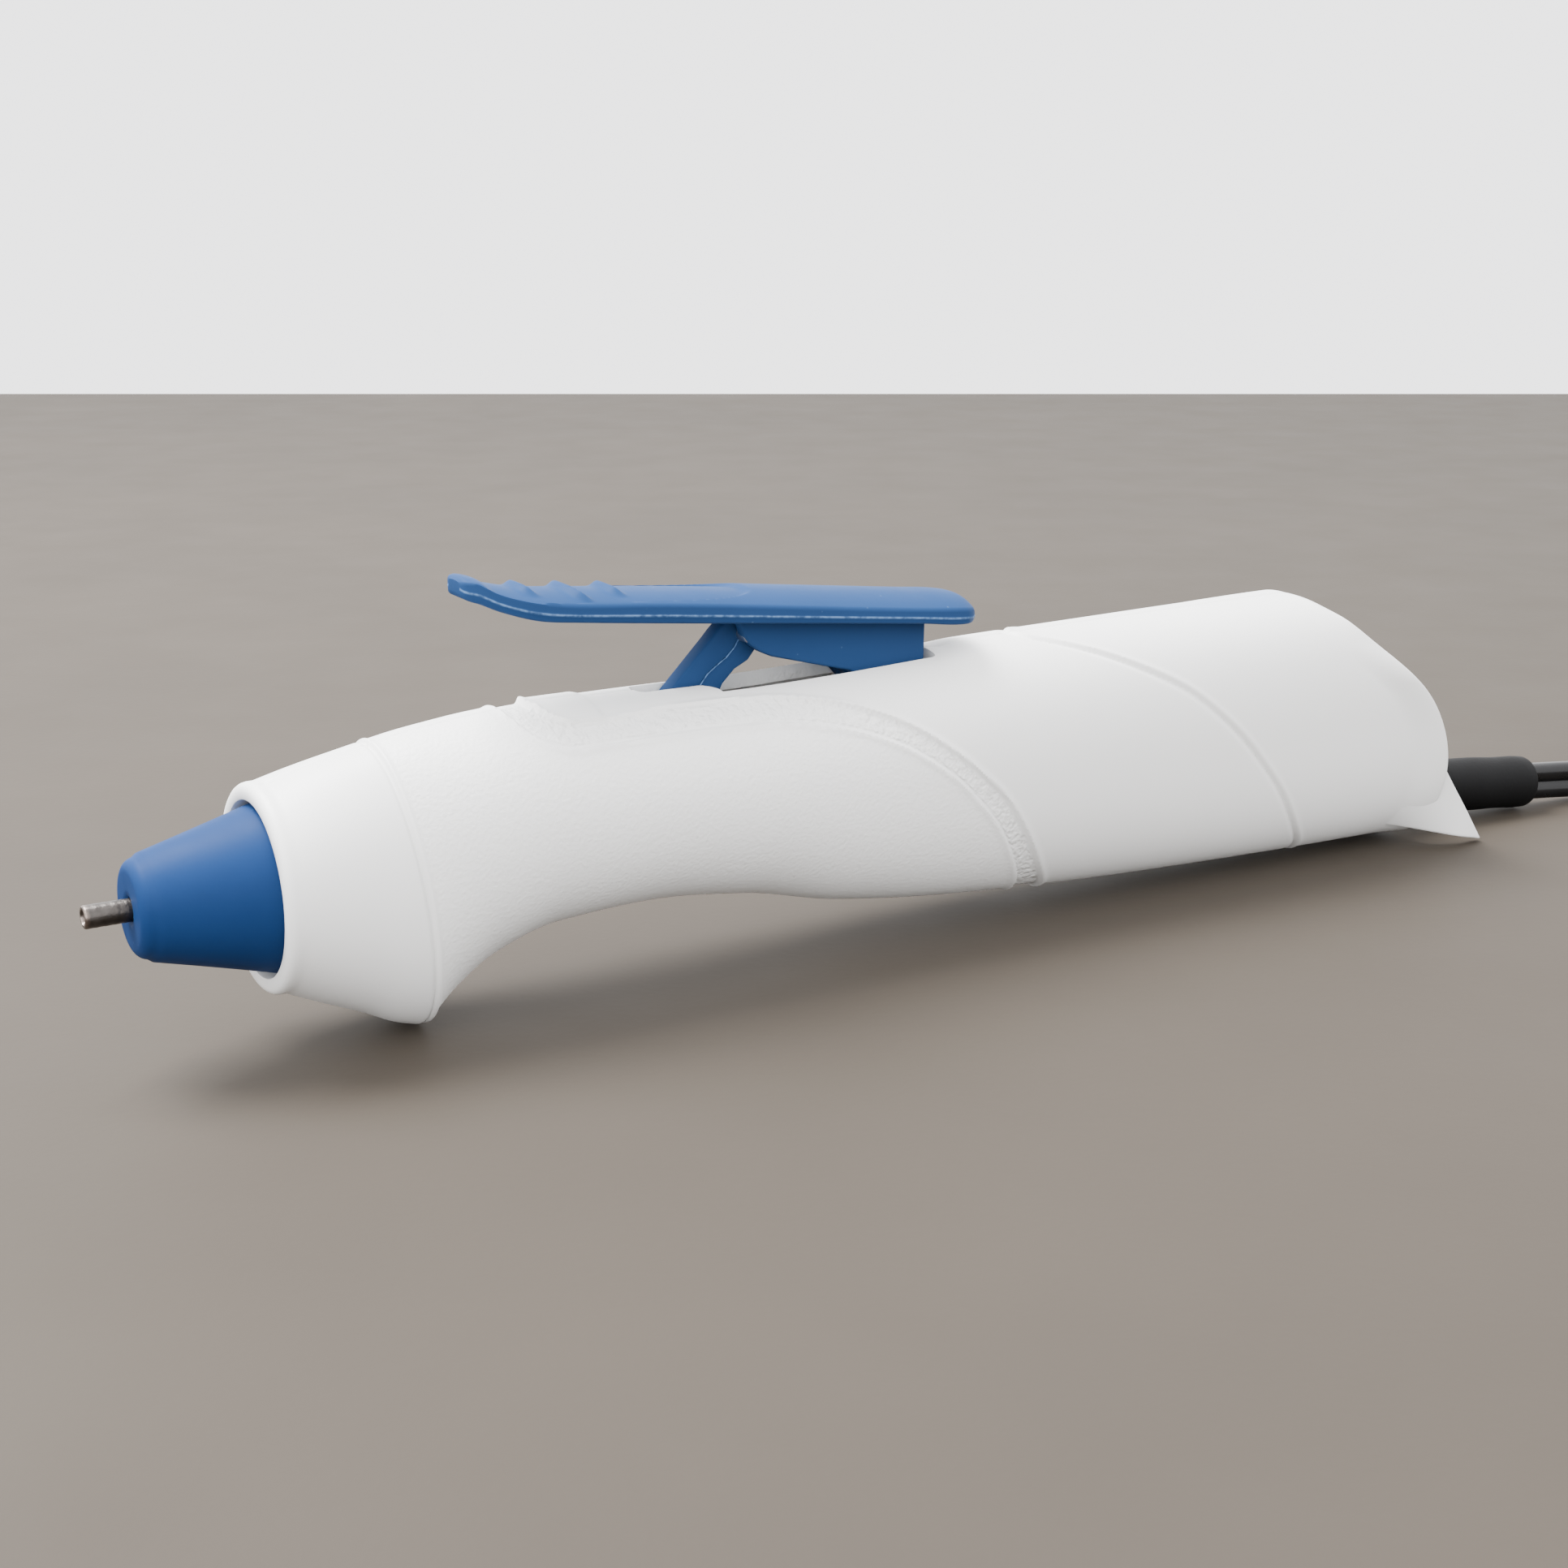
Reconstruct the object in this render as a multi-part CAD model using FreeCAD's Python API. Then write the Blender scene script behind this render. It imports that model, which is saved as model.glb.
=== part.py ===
"""A mains-corded hot glue pen with a top feed lever, one solid or group of solids per piece.

Frame: the nozzle points along -X, the tail along +X and +Z is up. The pen lies on the
plane z = 0 on its heel and its two tail feet, and the origin is under the middle of its
length. The pen itself is drawn with the heel at x = 0 and moved there when it is written.
The cord outside the pen is drawn in the final frame. Sizes are millimetres.
"""
import FreeCAD, Part
import math
import os

V = FreeCAD.Vector
ALONG = V(1, 0, 0)
ACROSS = V(0, 1, 0)

# ---------------------------------------------------------------- driving dimensions
overall_length = 204.5      # nozzle mouth to the ends of the tail feet
nozzle_reach = 37.7         # nozzle mouth to the heel
axis_height = 19.7          # glue path above the table
shell_wall = 1.8
stick_bore_radius = 3.75    # takes 7 mm glue sticks
running_clearance = 0.05    # radial, pins in their holes

ring_front = -18.3          # front face of the nose ring, from the heel
ring_radius = 12.35
ring_thickness = 1.9
ring_hole_radius = 10.2
tail_rim = 157.6            # upright part of the tail rim, from the heel
tail_arc_radius = 22.0
tail_arc_height = 10.3      # centre height of the rim's rounded shoulder
tail_slope = math.radians(47)
tail_half_width = 13.9

slot_front = 41.0
slot_rear = 73.0
slot_half_width = 4.0
link_slot_front = 30.5
link_slot_half_width = 1.8

lever_pivot = (67.0, 33.5)  # x, z
link_pivot = (45.5, 42.9)
carriage_pivot = (34.0, 31.3)
lever_pin_radius = 1.5
link_pin_radius = 1.0
link_room_radius = 3.6
lever_half_width = 6.5
cheek_inner = 1.7
cheek_outer = 3.5
link_half_thickness = 1.3
link_half_depth = 3.05
crown_radius = 22.0         # of the paddle's top
paddle_slope = 6.3          # degrees, paddle falling to the tail

chamber_radius = 6.2
chamber_front = -26.9
chamber_rear = 12.0
carriage_front = 30.0
carriage_rear = 46.0
guide_front = 56.0
guide_rear = 153.4
guide_outer_radius = 5.2

cord_width = 5.8
cord_thickness = 3.0
cord_exit_height = 6.6
heel_x = nozzle_reach - overall_length / 2

# Distance behind the heel, top, bottom, half width and squareness of the outer shape.
collar_stations = [
    (ring_front + ring_thickness, 32.05, 7.35, 12.35, 2.0),
    (-12.6, 33.1, 5.6, 12.4, 2.0),
    (-6.5, 34.5, 2.9, 12.45, 2.0),
    (-2.6, 35.3, 0.9, 12.5, 2.0),
    (0.3, 35.8, 0.0, 12.5, 2.0),
]
body_stations = [
    (0.3, 35.8, 0.0, 12.5, 2.0),
    (4.2, 36.3, 3.7, 12.5, 2.0),
    (10.0, 36.9, 7.5, 12.5, 2.0),
    (18.0, 37.3, 10.0, 12.5, 2.0),
    (30.0, 37.3, 10.6, 12.6, 2.0),
    (44.0, 37.2, 9.2, 12.7, 2.0),
    (58.0, 37.5, 6.0, 12.8, 2.05),
    (75.0, 38.1, 3.8, 12.9, 2.1),
    (100.0, 38.5, 2.1, 13.0, 2.2),
    (130.0, 38.8, 1.1, 13.0, 2.4),
    (150.0, 38.9, 0.7, 13.1, 2.5),
    (160.0, 38.9, 0.6, 13.5, 2.5),
]
section_steps = 12


# ---------------------------------------------------------------- helpers
def box(x0, x1, y0, y1, z0, z1):
    """Box between two corners."""
    return Part.makeBox(x1 - x0, y1 - y0, z1 - z0, V(x0, y0, z0))


def rod_x(x0, x1, radius, y=0.0, z=axis_height):
    """Cylinder along X."""
    return Part.makeCylinder(radius, x1 - x0, V(x0, y, z), ALONG)


def rod_y(x, z, y0, y1, radius):
    """Cylinder along Y."""
    return Part.makeCylinder(radius, y1 - y0, V(x, y0, z), ACROSS)


def cone_x(x0, x1, radius0, radius1, z=axis_height):
    """Cone along X."""
    return Part.makeCone(radius0, radius1, x1 - x0, V(x0, 0, z), ALONG)


def tube_x(x0, x1, outer, inner):
    """Tube along the glue path."""
    return rod_x(x0, x1, outer).cut(rod_x(x0 - 1, x1 + 1, inner))


def plate(points, y0, y1):
    """Side-view outline of (x, z) points, with a thickness from y0 to y1."""
    outline = Part.makePolygon([V(x, y0, z) for x, z in points + points[:1]])
    return Part.Face(outline).extrude(V(0, y1 - y0, 0))


def fuse(*shapes):
    """One shape out of several."""
    whole = shapes[0]
    for shape in shapes[1:]:
        whole = whole.fuse(shape)
    return whole.removeSplitter()


def cut(shape, *tools):
    """Cut several tools out of a shape."""
    for tool in tools:
        shape = shape.cut(tool)
    return shape


def write(name, shape, shift=heel_x):
    """Write one node, moved from the drawing's heel to the frame's origin."""
    placed = shape.copy()
    placed.translate(V(shift, 0, 0))
    placed.exportStep("parts/" + name + ".step")


# ---------------------------------------------------------------- shell outer shape and cavity
def half_section(station, side, inset):
    """Half of a rounded section on one side of the middle plane, closed along it."""
    x, top, bottom, half_width, squareness = station
    middle = (top + bottom) / 2
    half_height = (top - bottom) / 2 - inset
    points = []
    for step in range(section_steps + 1):
        angle = math.pi / 2 - math.pi * step / section_steps
        across = 0.0 if step in (0, section_steps) else math.cos(angle) ** (2 / squareness)
        rise = math.copysign(abs(math.sin(angle)) ** (2 / squareness), math.sin(angle))
        points.append(V(x, side * (half_width - inset) * across, middle + half_height * rise))
    curve = Part.BSplineCurve()
    curve.interpolate(points)
    return Part.Wire([curve.toShape(), Part.makeLine(points[-1], points[0])])


def half_body(side, inset):
    """Half of the whole outer shape, or of the cavity when inset by the wall."""
    collar = Part.makeLoft([half_section(s, side, inset) for s in collar_stations], True, True)
    body = Part.makeLoft([half_section(s, side, inset) for s in body_stations], True)
    return collar.fuse(body)


def behind_rim(shift):
    """Everything behind the tail rim, with the rim moved forward by shift."""
    centre = V(tail_rim - tail_arc_radius - shift, 0, tail_arc_height)

    def on_arc(angle):
        return centre + V(math.cos(angle), 0, math.sin(angle)) * tail_arc_radius

    slope_start = on_arc(tail_slope)
    far_top = slope_start + V(-math.sin(tail_slope), 0, math.cos(tail_slope)) * 40
    arc = Part.Arc(slope_start, on_arc(tail_slope / 2), on_arc(0)).toShape()
    corners = [on_arc(0), V(on_arc(0).x, 0, -5), V(200, 0, -5), V(200, 0, far_top.z), far_top, slope_start]
    outline = Part.Wire([arc] + [Part.makeLine(a, b) for a, b in zip(corners, corners[1:])])
    region = Part.Face(outline).extrude(V(0, 60, 0))
    region.translate(V(0, -30, 0))
    return region


def tail_foot(side):
    """Fin-shaped foot that carries the tail on one side."""
    outline = [(150.0, 0.9), (163.0, 0.0), (165.6, 0.0), (166.8, 1.1), (162.4, 5.2), (157.6, 10.8),
               (150.0, 10.8)]
    inner, outer = 11.2, tail_half_width
    return plate(outline, min(side * inner, side * outer), max(side * inner, side * outer))


screw_places = [(5.0, 31.0), (24.0, 32.6), (95.0, 31.0), (100.0, 7.4), (126.0, 31.0)]  # x, z
screw_radius = 0.9
screw_head_radius = 2.0
screw_boss_radius = 2.4


def shell(side):
    """One half of the casing with its ribs, bosses and slots."""
    outer = half_body(side, 0).cut(behind_rim(0))
    outer = outer.fuse(tail_foot(side))
    ring = rod_x(ring_front, ring_front + ring_thickness + 1.0, ring_radius - 0.1)
    front_edge = [e for e in ring.Edges if abs(e.BoundBox.XMax - ring_front) < 1e-6]
    ring = ring.makeFillet(1.0, front_edge)
    this_half = box(-60, 200, min(0, side * 40), max(0, side * 40), -5, 80)
    outer = outer.fuse(ring.common(this_half))

    cavity = half_body(side, shell_wall)
    tail_wall = 1.8
    main_cavity = cavity.cut(behind_rim(3.2 + tail_wall))
    tail_recess = cavity.common(behind_rim(3.2))
    body = cut(outer, main_cavity, tail_recess)

    core = half_body(side, shell_wall / 2).cut(behind_rim(3.2 + tail_wall / 2))
    ribs = []
    for x0, thickness, hole in [(9.8, 1.6, 8.7), (16.0, 1.5, 5.5), (88.0, 1.6, 5.3), (118.0, 1.6, 5.3)]:
        slab = box(x0, x0 + thickness, -30, 30, -5, 60)
        ribs.append(core.common(slab).cut(rod_x(x0 - 1, x0 + thickness + 1, hole)))
    lead_notches = [
        box(8, 19, min(side * 5.0, side * 9.8), max(side * 5.0, side * 9.8), 16.5, 30.0),
        box(86, 92, min(side * 1.0, side * 9.0), max(side * 1.0, side * 9.0), 4.5, 17.0),
        box(116, 121, min(side * 1.0, side * 8.0), max(side * 1.0, side * 8.0), 3.5, 15.0),
    ]
    ribs = [cut(rib, *lead_notches) for rib in ribs]
    for z0, z1 in [(axis_height - 3.0, axis_height - 1.5), (axis_height + 1.5, axis_height + 3.0)]:
        rail = box(22.0, 50.0, min(side * 7.3, side * 30), max(side * 7.3, side * 30), z0, z1)
        ribs.append(core.common(rail))

    bosses = []
    for x, z in screw_places:
        whole = rod_y(x, z, min(0, side * 20), max(0, side * 20), screw_boss_radius)
        bosses.append(core.common(whole))
    pivot_x, pivot_z = lever_pivot
    near, far = side * (cheek_outer + 0.4), side * 20
    pivot_boss = rod_y(pivot_x, pivot_z, min(near, far), max(near, far), 3.4)
    bosses.append(core.common(pivot_boss))
    if side < 0:
        for x in (134.0, 143.0):
            bosses.append(core.common(rod_y(x, 12.0, -20, -0.01, 2.2)))
        bosses.append(core.common(box(130.0, 147.0, -20, -cord_thickness / 2, 3.0, 9.4)))

    whole = fuse(body, *ribs, *bosses)
    openings = [
        rod_x(ring_front - 1, ring_front + ring_thickness + 1.5, ring_hole_radius),
        box(slot_front, slot_rear, -slot_half_width, slot_half_width, 30, 60),
        box(link_slot_front, slot_front + 1, -link_slot_half_width, link_slot_half_width, 28, 60),
        rod_x(146, 160, guide_outer_radius + 0.1),
        rod_x(146, 160, 3.25, 0, cord_exit_height),
        rod_x(tail_rim - 3.2, 160, 4.7, 0, cord_exit_height),
        rod_y(pivot_x, pivot_z, -9.0, 9.0, lever_pin_radius),
    ]
    for x, z in screw_places:
        openings.append(rod_y(x, z, -7.5, 0, screw_radius))
        openings.append(rod_y(x, z, 0, 20, screw_radius + 0.25))
        openings.append(rod_y(x, z, 7.5, 20, screw_head_radius + 0.3))
    if side < 0:
        for x in (134.0, 143.0):
            openings.append(rod_y(x, 12.0, -7.0, 0.5, 0.8))
    return cut(whole, *openings)


# ---------------------------------------------------------------- nose, nozzle and melt chamber
def nose_sleeve():
    """Silicone cone around the chamber's front, held by a flange behind the nose ring."""
    cone = cone_x(-32.6, -16.2, 5.6, 10.1)
    flange = rod_x(-16.2, -14.4, 10.45)
    cavity = rod_x(-33, -31.2, 1.4)
    base_room = rod_x(-31.2, chamber_front, 3.6)
    chamber_room = rod_x(chamber_front, -14, chamber_radius)
    body = cut(fuse(cone, flange), cavity, base_room, chamber_room)
    front_edges = [e for e in body.Edges if e.BoundBox.XMax < -32.5 and e.BoundBox.ZLength > 10]
    return body.makeFillet(1.3, front_edges)


def nozzle_tip():
    """Steel tube with a hexagonal base and a stud into the chamber."""
    tube = rod_x(-nozzle_reach, -30.0, 1.35)
    turns = [k * math.pi / 3 for k in range(7)]
    hexagon = Part.makePolygon([V(-30.8, 3.3 * math.cos(a), axis_height + 3.3 * math.sin(a)) for a in turns])
    base = Part.Face(hexagon).extrude(V(30.8 + chamber_front, 0, 0))
    stud = rod_x(chamber_front - 0.5, -20.9, 2.4)
    bore = rod_x(-40, -30.5, 0.6).fuse(rod_x(-30.6, -20, 1.3))
    return fuse(tube, base, stud).cut(bore)


def melt_chamber():
    """Aluminium barrel with the glue bore and a tunnel under it for the heater."""
    barrel = rod_x(chamber_front, chamber_rear, chamber_radius)
    spigot = rod_x(chamber_rear, 16.0, 4.6)
    block = box(-9.0, 4.0, -4.8, 4.8, axis_height - 10.6, axis_height - 4.0)
    bore = rod_x(-15.0, 17.0, stick_bore_radius)
    funnel = cone_x(-20.9, -15.0, 1.3, stick_bore_radius)
    socket = rod_x(chamber_front - 1, -20.9, 2.4)
    tunnel = box(-10.0, 5.0, -3.8, 3.8, axis_height - 9.8, axis_height - 6.4)
    return cut(fuse(barrel, spigot, block), bore, funnel, socket, tunnel)


def heater_film():
    """Insulating wrap that lines the heater tunnel."""
    outside = box(-9.4, 4.6, -3.8, 3.8, axis_height - 9.8, axis_height - 6.4)
    inside = box(-10.0, 5.0, -3.5, 3.5, axis_height - 9.5, axis_height - 6.7)
    return outside.cut(inside)


def heater_plates():
    """Two electrode plates, one each side of the heater pill, with tabs to the rear."""
    plates = []
    for z0, tab_side in [(axis_height - 9.5, -1), (axis_height - 7.1, 1)]:
        sheet = box(-8.6, 4.4, -3.2, 3.2, z0, z0 + 0.4)
        tab = box(4.4, 5.6, tab_side * 2.0 - 1.0, tab_side * 2.0 + 1.0, z0, z0 + 0.4)
        plates.append(fuse(sheet, tab))
    return Part.makeCompound(plates)


def heater_pill():
    """Ceramic heating element."""
    return box(-8.4, 3.6, -3.0, 3.0, axis_height - 9.1, axis_height - 7.1)


def chamber_cradle():
    """Heat-resistant ring that holds the chamber in the shells' first rib."""
    ring = tube_x(9.0, chamber_rear, 9.4, chamber_radius)
    groove = tube_x(9.8, 11.4, 12, 8.6)
    lead_rooms = [box(8, 13, y0, y1, 13.0, 28.5) for y0, y1 in ((-10, -7), (7, 10))]
    return cut(ring, groove, *lead_rooms)


def feed_sleeve():
    """Silicone seal that slips over the chamber's spigot and grips the stick."""
    outside = fuse(rod_x(chamber_rear, 16.0, 5.4), rod_x(16.0, 24.0, 5.2))
    return cut(outside, rod_x(11, 16.0, 4.6), rod_x(15, 25, stick_bore_radius))


def sleeve_clamp():
    """Wire ring that squeezes the feed sleeve on its spigot."""
    return Part.makeTorus(6.0, 0.6, V(14.0, 0, axis_height), ALONG)


# ---------------------------------------------------------------- feed mechanism
def feed_carriage():
    """Sliding sleeve round the stick with side wings and two lugs for the push link."""
    sleeve = rod_x(carriage_front, carriage_rear, 5.6)
    wings = box(32.0, 44.0, -9.4, 9.4, axis_height - 1.2, axis_height + 1.2)
    lugs = [plate([(30.5, 22.0), (44.5, 22.0), (37.4, 33.8), (30.9, 33.8)], y0, y1)
            for y0, y1 in ((-3.2, -1.6), (1.6, 3.2))]
    body = fuse(sleeve, wings, *lugs)
    pin_hole = rod_y(carriage_pivot[0], carriage_pivot[1], -5, 5, link_pin_radius)
    return cut(body, rod_x(29, 47, stick_bore_radius), pin_hole)


def grip_plate():
    """Spring steel plate behind the carriage whose teeth bite the stick going forward."""
    disc = rod_x(carriage_rear, carriage_rear + 0.6, 5.6).cut(rod_x(45, 48, 4.3))
    teeth = []
    for k in range(8):
        tooth = box(carriage_rear, carriage_rear + 0.6, -0.7, 0.7, axis_height + 3.6, axis_height + 4.6)
        tooth.rotate(V(0, 0, axis_height), ALONG, 45 * k)
        teeth.append(tooth)
    return fuse(disc, *teeth)


def return_spring():
    """Compression spring between the spring rib and the carriage."""
    wire_radius, mean_radius, first, last, turns, corners = 0.4, 6.3, 18.0, 29.5, 5, 8
    count = turns * corners
    route = []
    for k in range(count + 1):
        angle = 2 * math.pi * k / corners
        route.append(V(first + (last - first) * k / count, mean_radius * math.cos(angle),
                       axis_height + mean_radius * math.sin(angle)))
    return path_tube(route, wire_radius)


def trigger_lever():
    """Thumb paddle with a box rib under its rear half that carries both pivots."""
    side_view = [(7.7, 51.2), (11.5, 49.6), (16.0, 48.2), (20.6, 47.6), (69.0, 42.3), (76.8, 41.5),
                 (78.6, 43.0), (78.6, 44.4), (77.0, 45.5), (52.0, 48.2), (24.0, 50.8), (15.5, 51.8),
                 (11.0, 53.0), (7.7, 53.6)]
    paddle = plate(side_view, -lever_half_width, lever_half_width)
    rounded = [(7.0, -3.0), (10.0, -5.0), (15.0, -6.2), (20.0, -lever_half_width), (74.0, -lever_half_width),
               (79.0, -3.5)]
    plan = rounded + [(x, -y) for x, y in reversed(rounded)]
    outline = Part.makePolygon([V(x, y, 40) for x, y in plan + plan[:1]])
    paddle = paddle.common(Part.Face(outline).extrude(V(0, 0, 20)))
    crown = Part.makeCylinder(crown_radius, 90, V(0, 0, 0), ALONG)
    crown.rotate(V(0, 0, 0), ACROSS, paddle_slope)
    crown.translate(V(16.0, 0, 51.9 - crown_radius))
    crown = crown.fuse(box(0, 22, -10, 10, 40, 60))
    paddle = paddle.common(crown)

    pivot_x, pivot_z = lever_pivot
    rib_view = [(43.9, 45.4), (44.1, 43.4), (46.4, 40.9), (48.2, 39.9), (60.0, 36.7), (63.2, 33.2),
                (67.0, 29.6), (71.2, 33.2), (71.4, 42.6), (60.0, 44.0)]
    cheek_places = ((-cheek_outer, -cheek_inner), (cheek_inner, cheek_outer))
    cheeks = [plate(rib_view, y0, y1) for y0, y1 in cheek_places]
    bridge = plate([(58.0, 37.6), (62.0, 35.0), (62.4, 43.8), (58.0, 44.2)], -cheek_inner, cheek_inner)
    back = plate([(69.8, 34.0), (71.2, 34.0), (71.4, 42.6), (69.8, 42.8)], -cheek_inner, cheek_inner)
    hub = rod_y(pivot_x, pivot_z, -cheek_outer, cheek_outer, 3.0)
    link_room = rod_y(link_pivot[0], link_pivot[1], -cheek_inner, cheek_inner, link_room_radius)
    lever = fuse(paddle, *cheeks, bridge, back, hub)
    return cut(
        lever,
        link_room,
        rod_y(pivot_x, pivot_z, -9, 9, lever_pin_radius + running_clearance),
        rod_y(link_pivot[0], link_pivot[1], -9, 9, link_pin_radius),
    )


def push_link():
    """Slanted bar from the lever to the carriage, with an elongated lower hole."""
    (x0, z0), (x1, z1) = carriage_pivot, link_pivot
    length = math.hypot(x1 - x0, z1 - z0)
    t, d, r = link_half_thickness, link_half_depth, link_pin_radius
    bar = fuse(box(0, length, -t, t, -d, d), rod_y(0, 0, -t, t, d), rod_y(length, 0, -t, t, d))
    slack = 0.9
    slot = fuse(box(-slack, slack, -t, t, -r - 0.3, r + 0.3),
                rod_y(-slack, 0, -t, t, r + 0.3), rod_y(slack, 0, -t, t, r + 0.3))
    bar = cut(bar, slot, rod_y(length, 0, -t, t, r + running_clearance))
    bar.rotate(V(0, 0, 0), ACROSS, -math.degrees(math.atan2(z1 - z0, x1 - x0)))
    bar.translate(V(x0, 0, z0))
    return bar


# ---------------------------------------------------------------- tail, leads and fasteners
def stick_guide():
    """Tube that leads the stick from the tail inlet to the carriage, with a wall flange."""
    return fuse(rod_x(guide_front, guide_rear, guide_outer_radius), rod_x(119.8, 121.6, 7.4)).cut(
        rod_x(guide_front - 1, guide_rear + 1, stick_bore_radius))


def path_tube(points, radius, report=""):
    """Tube along straight runs joined by tangent arcs through a list of route points."""
    edges = []
    radii = []
    start = points[0]
    for before, corner, after in zip(points, points[1:], points[2:]):
        back, ahead = before - corner, after - corner
        short = min(back.Length, ahead.Length)
        half_turn = (math.pi - back.getAngle(ahead)) / 2
        reach = 0.45 * short
        bend = reach / math.tan(half_turn)
        back.normalize()
        ahead.normalize()
        middle = back + ahead
        middle.normalize()
        arc_start, arc_end = corner + back * reach, corner + ahead * reach
        top = corner + middle * (bend / math.cos(half_turn) - bend)
        edges.append(Part.LineSegment(start, arc_start).toShape())
        edges.append(Part.Arc(arc_start, top, arc_end).toShape())
        start = arc_end
        radii.append(bend)
    edges.append(Part.LineSegment(start, points[-1]).toShape())
    path = Part.Wire(edges)
    direction = points[1] - points[0]
    profile = Part.Wire([Part.makeCircle(radius, points[0], direction)])
    tube = path.makePipeShell([profile], True, True)
    if report:
        section = math.pi * radius ** 2
        print(report, "bend radii", [round(r, 1) for r in radii], "length", round(path.Length, 1),
              "volume over section times length", round(tube.Volume / (section * path.Length), 4))
    return tube


lead_radius = 0.8


def inner_lead(side, fuse_gap):
    """Insulated lead from a heater tab to the cord clamp, open where a fuse takes its place."""
    route = [V(5.8, side * 2.0, axis_height - 8.4), V(6.8, side * 5.2, 12.2), V(7.7, side * 8.0, 15.0),
             V(9.4, side * 8.3, 20.5), V(14.0, side * 8.2, 25.0), V(26.0, side * 7.4, 27.2),
             V(48.0, side * 7.6, 26.4),
             V(68.0, side * 7.2, 21.0), V(84.0, side * 5.6, 12.4), V(97.0, side * 4.6, 12.6)]
    front = path_tube(route, lead_radius)
    rear_route = [V(109.0, side * 4.6, 12.6), V(117.0, side * 4.4, 10.6), V(124.0, side * 2.0, 7.4),
                  V(129.8, side * 0.85, 6.4 + side * 1.3)]
    if fuse_gap:
        return Part.makeCompound([front, path_tube(rear_route, lead_radius)])
    return path_tube(route + rear_route, lead_radius)


def thermal_fuse():
    """Thermal cut-off in the live lead."""
    return fuse(rod_x(98.6, 107.4, 2.0, 4.6, 12.6), rod_x(97.2, 108.8, lead_radius, 4.6, 12.6))


def inner_cord():
    """End of the two-core cord inside the tail, under the clamp bar."""
    half = cord_thickness / 2
    cores = [rod_x(129.8, 148.0, half, 0, 6.4 + offset) for offset in (-1.4, 1.4)]
    return fuse(*cores, box(129.8, 148.0, -0.9, 0.9, 5.2, 7.6))


def cord_clamp():
    """Bar that presses the inner cord against the left shell's ledge."""
    bar = box(131.4, 145.6, cord_thickness / 2, cord_thickness / 2 + 1.8, 4.6, 14.2)
    for x in (134.0, 143.0):
        bar = bar.cut(rod_y(x, 12.0, 0, 5, 0.9))
    return bar


def screw(x, z, head_y, point_y, head_radius, shank_radius):
    """Round-head screw along Y with a cross recess."""
    direction = 1 if head_y > point_y else -1
    head_top = head_y + direction * 1.3
    head = rod_y(x, z, min(head_y, head_top), max(head_y, head_top), head_radius)
    shank = rod_y(x, z, min(head_y, point_y), max(head_y, point_y), shank_radius)
    y0, y1 = sorted((head_top, head_top - direction * 0.6))
    cross = [box(x - long, x + long, y0, y1, z - tall, z + tall) for long, tall in ((1.1, 0.25), (0.25, 1.1))]
    return cut(fuse(head, shank), *cross)


def strain_relief():
    """Tapered rubber sleeve on the cord, gripped by the tail wall and leaning to the near side."""
    neck = rod_x(148.0, 156.0, 3.2, 0, cord_exit_height)
    inner_flange = rod_x(149.6, 152.4, 3.8, 0, cord_exit_height)
    start, end = V(155.0, 0, cord_exit_height), V(185.8, -3.0, 4.15)
    sleeve = Part.makeCone(4.2, 4.0, (end - start).Length, start, end - start)
    end_edge = [e for e in sleeve.Edges if e.BoundBox.XMin > 180]
    sleeve = sleeve.makeFillet(0.9, end_edge)
    return fuse(neck, inner_flange, sleeve)


# ---------------------------------------------------------------- cord outside the pen, in the final frame
hank_left = 182.0           # centre of the hank's left bends
hank_right = 270.0          # centre of its right bends
hank_middle = -3.0          # y of the hank's long axis
hank_inner_radius = 17.4    # of the innermost turn's centreline at the bends
turn_pitch = 3.2            # between turns side by side, their narrow sides touching
turns_abreast = 3
layer_rise = 5.9
layers = 2
tie_front = 181.5
tie_rear = 187.5
plug_rear = 216.0           # where the cord enters the plug
plug_height = 6.6

hank_inside = hank_inner_radius - turn_pitch / 2
hank_outside = hank_inner_radius + turn_pitch * (turns_abreast - 0.5)
hank_top = cord_width + layer_rise * (layers - 1)

cord_route = [
    V(121.3, -3.0, 4.1),
    V(133.0, -3.9, 3.2),
    V(145.0, -8.4, 2.9),
    V(156.5, -15.6, 2.9),
    V(166.5, -22.6, 2.9),
    V(176.0, -25.9, 2.9),
]
plug_route = [
    V(hank_right, hank_middle + 23.8, 14.3),
    V(259.0, hank_middle + 22.4, 14.6),
    V(249.0, hank_middle + 17.6, 14.8),
    V(239.5, hank_middle + 11.0, 14.2),
    V(230.0, hank_middle + 5.2, 11.6),
    V(222.5, hank_middle + 1.9, 8.9),
    V(plug_rear, hank_middle + 0.3, plug_height + 0.2),
]


def racetrack(radius, z0, z1):
    """Upright solid with an outline of two straights and two half rounds."""
    height = z1 - z0
    middle = box(hank_left, hank_right, hank_middle - radius, hank_middle + radius, z0, z1)
    ends = [Part.makeCylinder(radius, height, V(x, hank_middle, z0)) for x in (hank_left, hank_right)]
    return fuse(middle, *ends)


def cord_hank():
    """Outer shape of the rest of the cord, wound into a long hank three turns wide and two layers high."""
    ring = racetrack(hank_outside, 0, hank_top).cut(racetrack(hank_inside, -1, hank_top + 1))
    return ring.makeChamfer(1.2, [e for e in ring.Edges if e.BoundBox.ZLength < 0.01])


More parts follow.
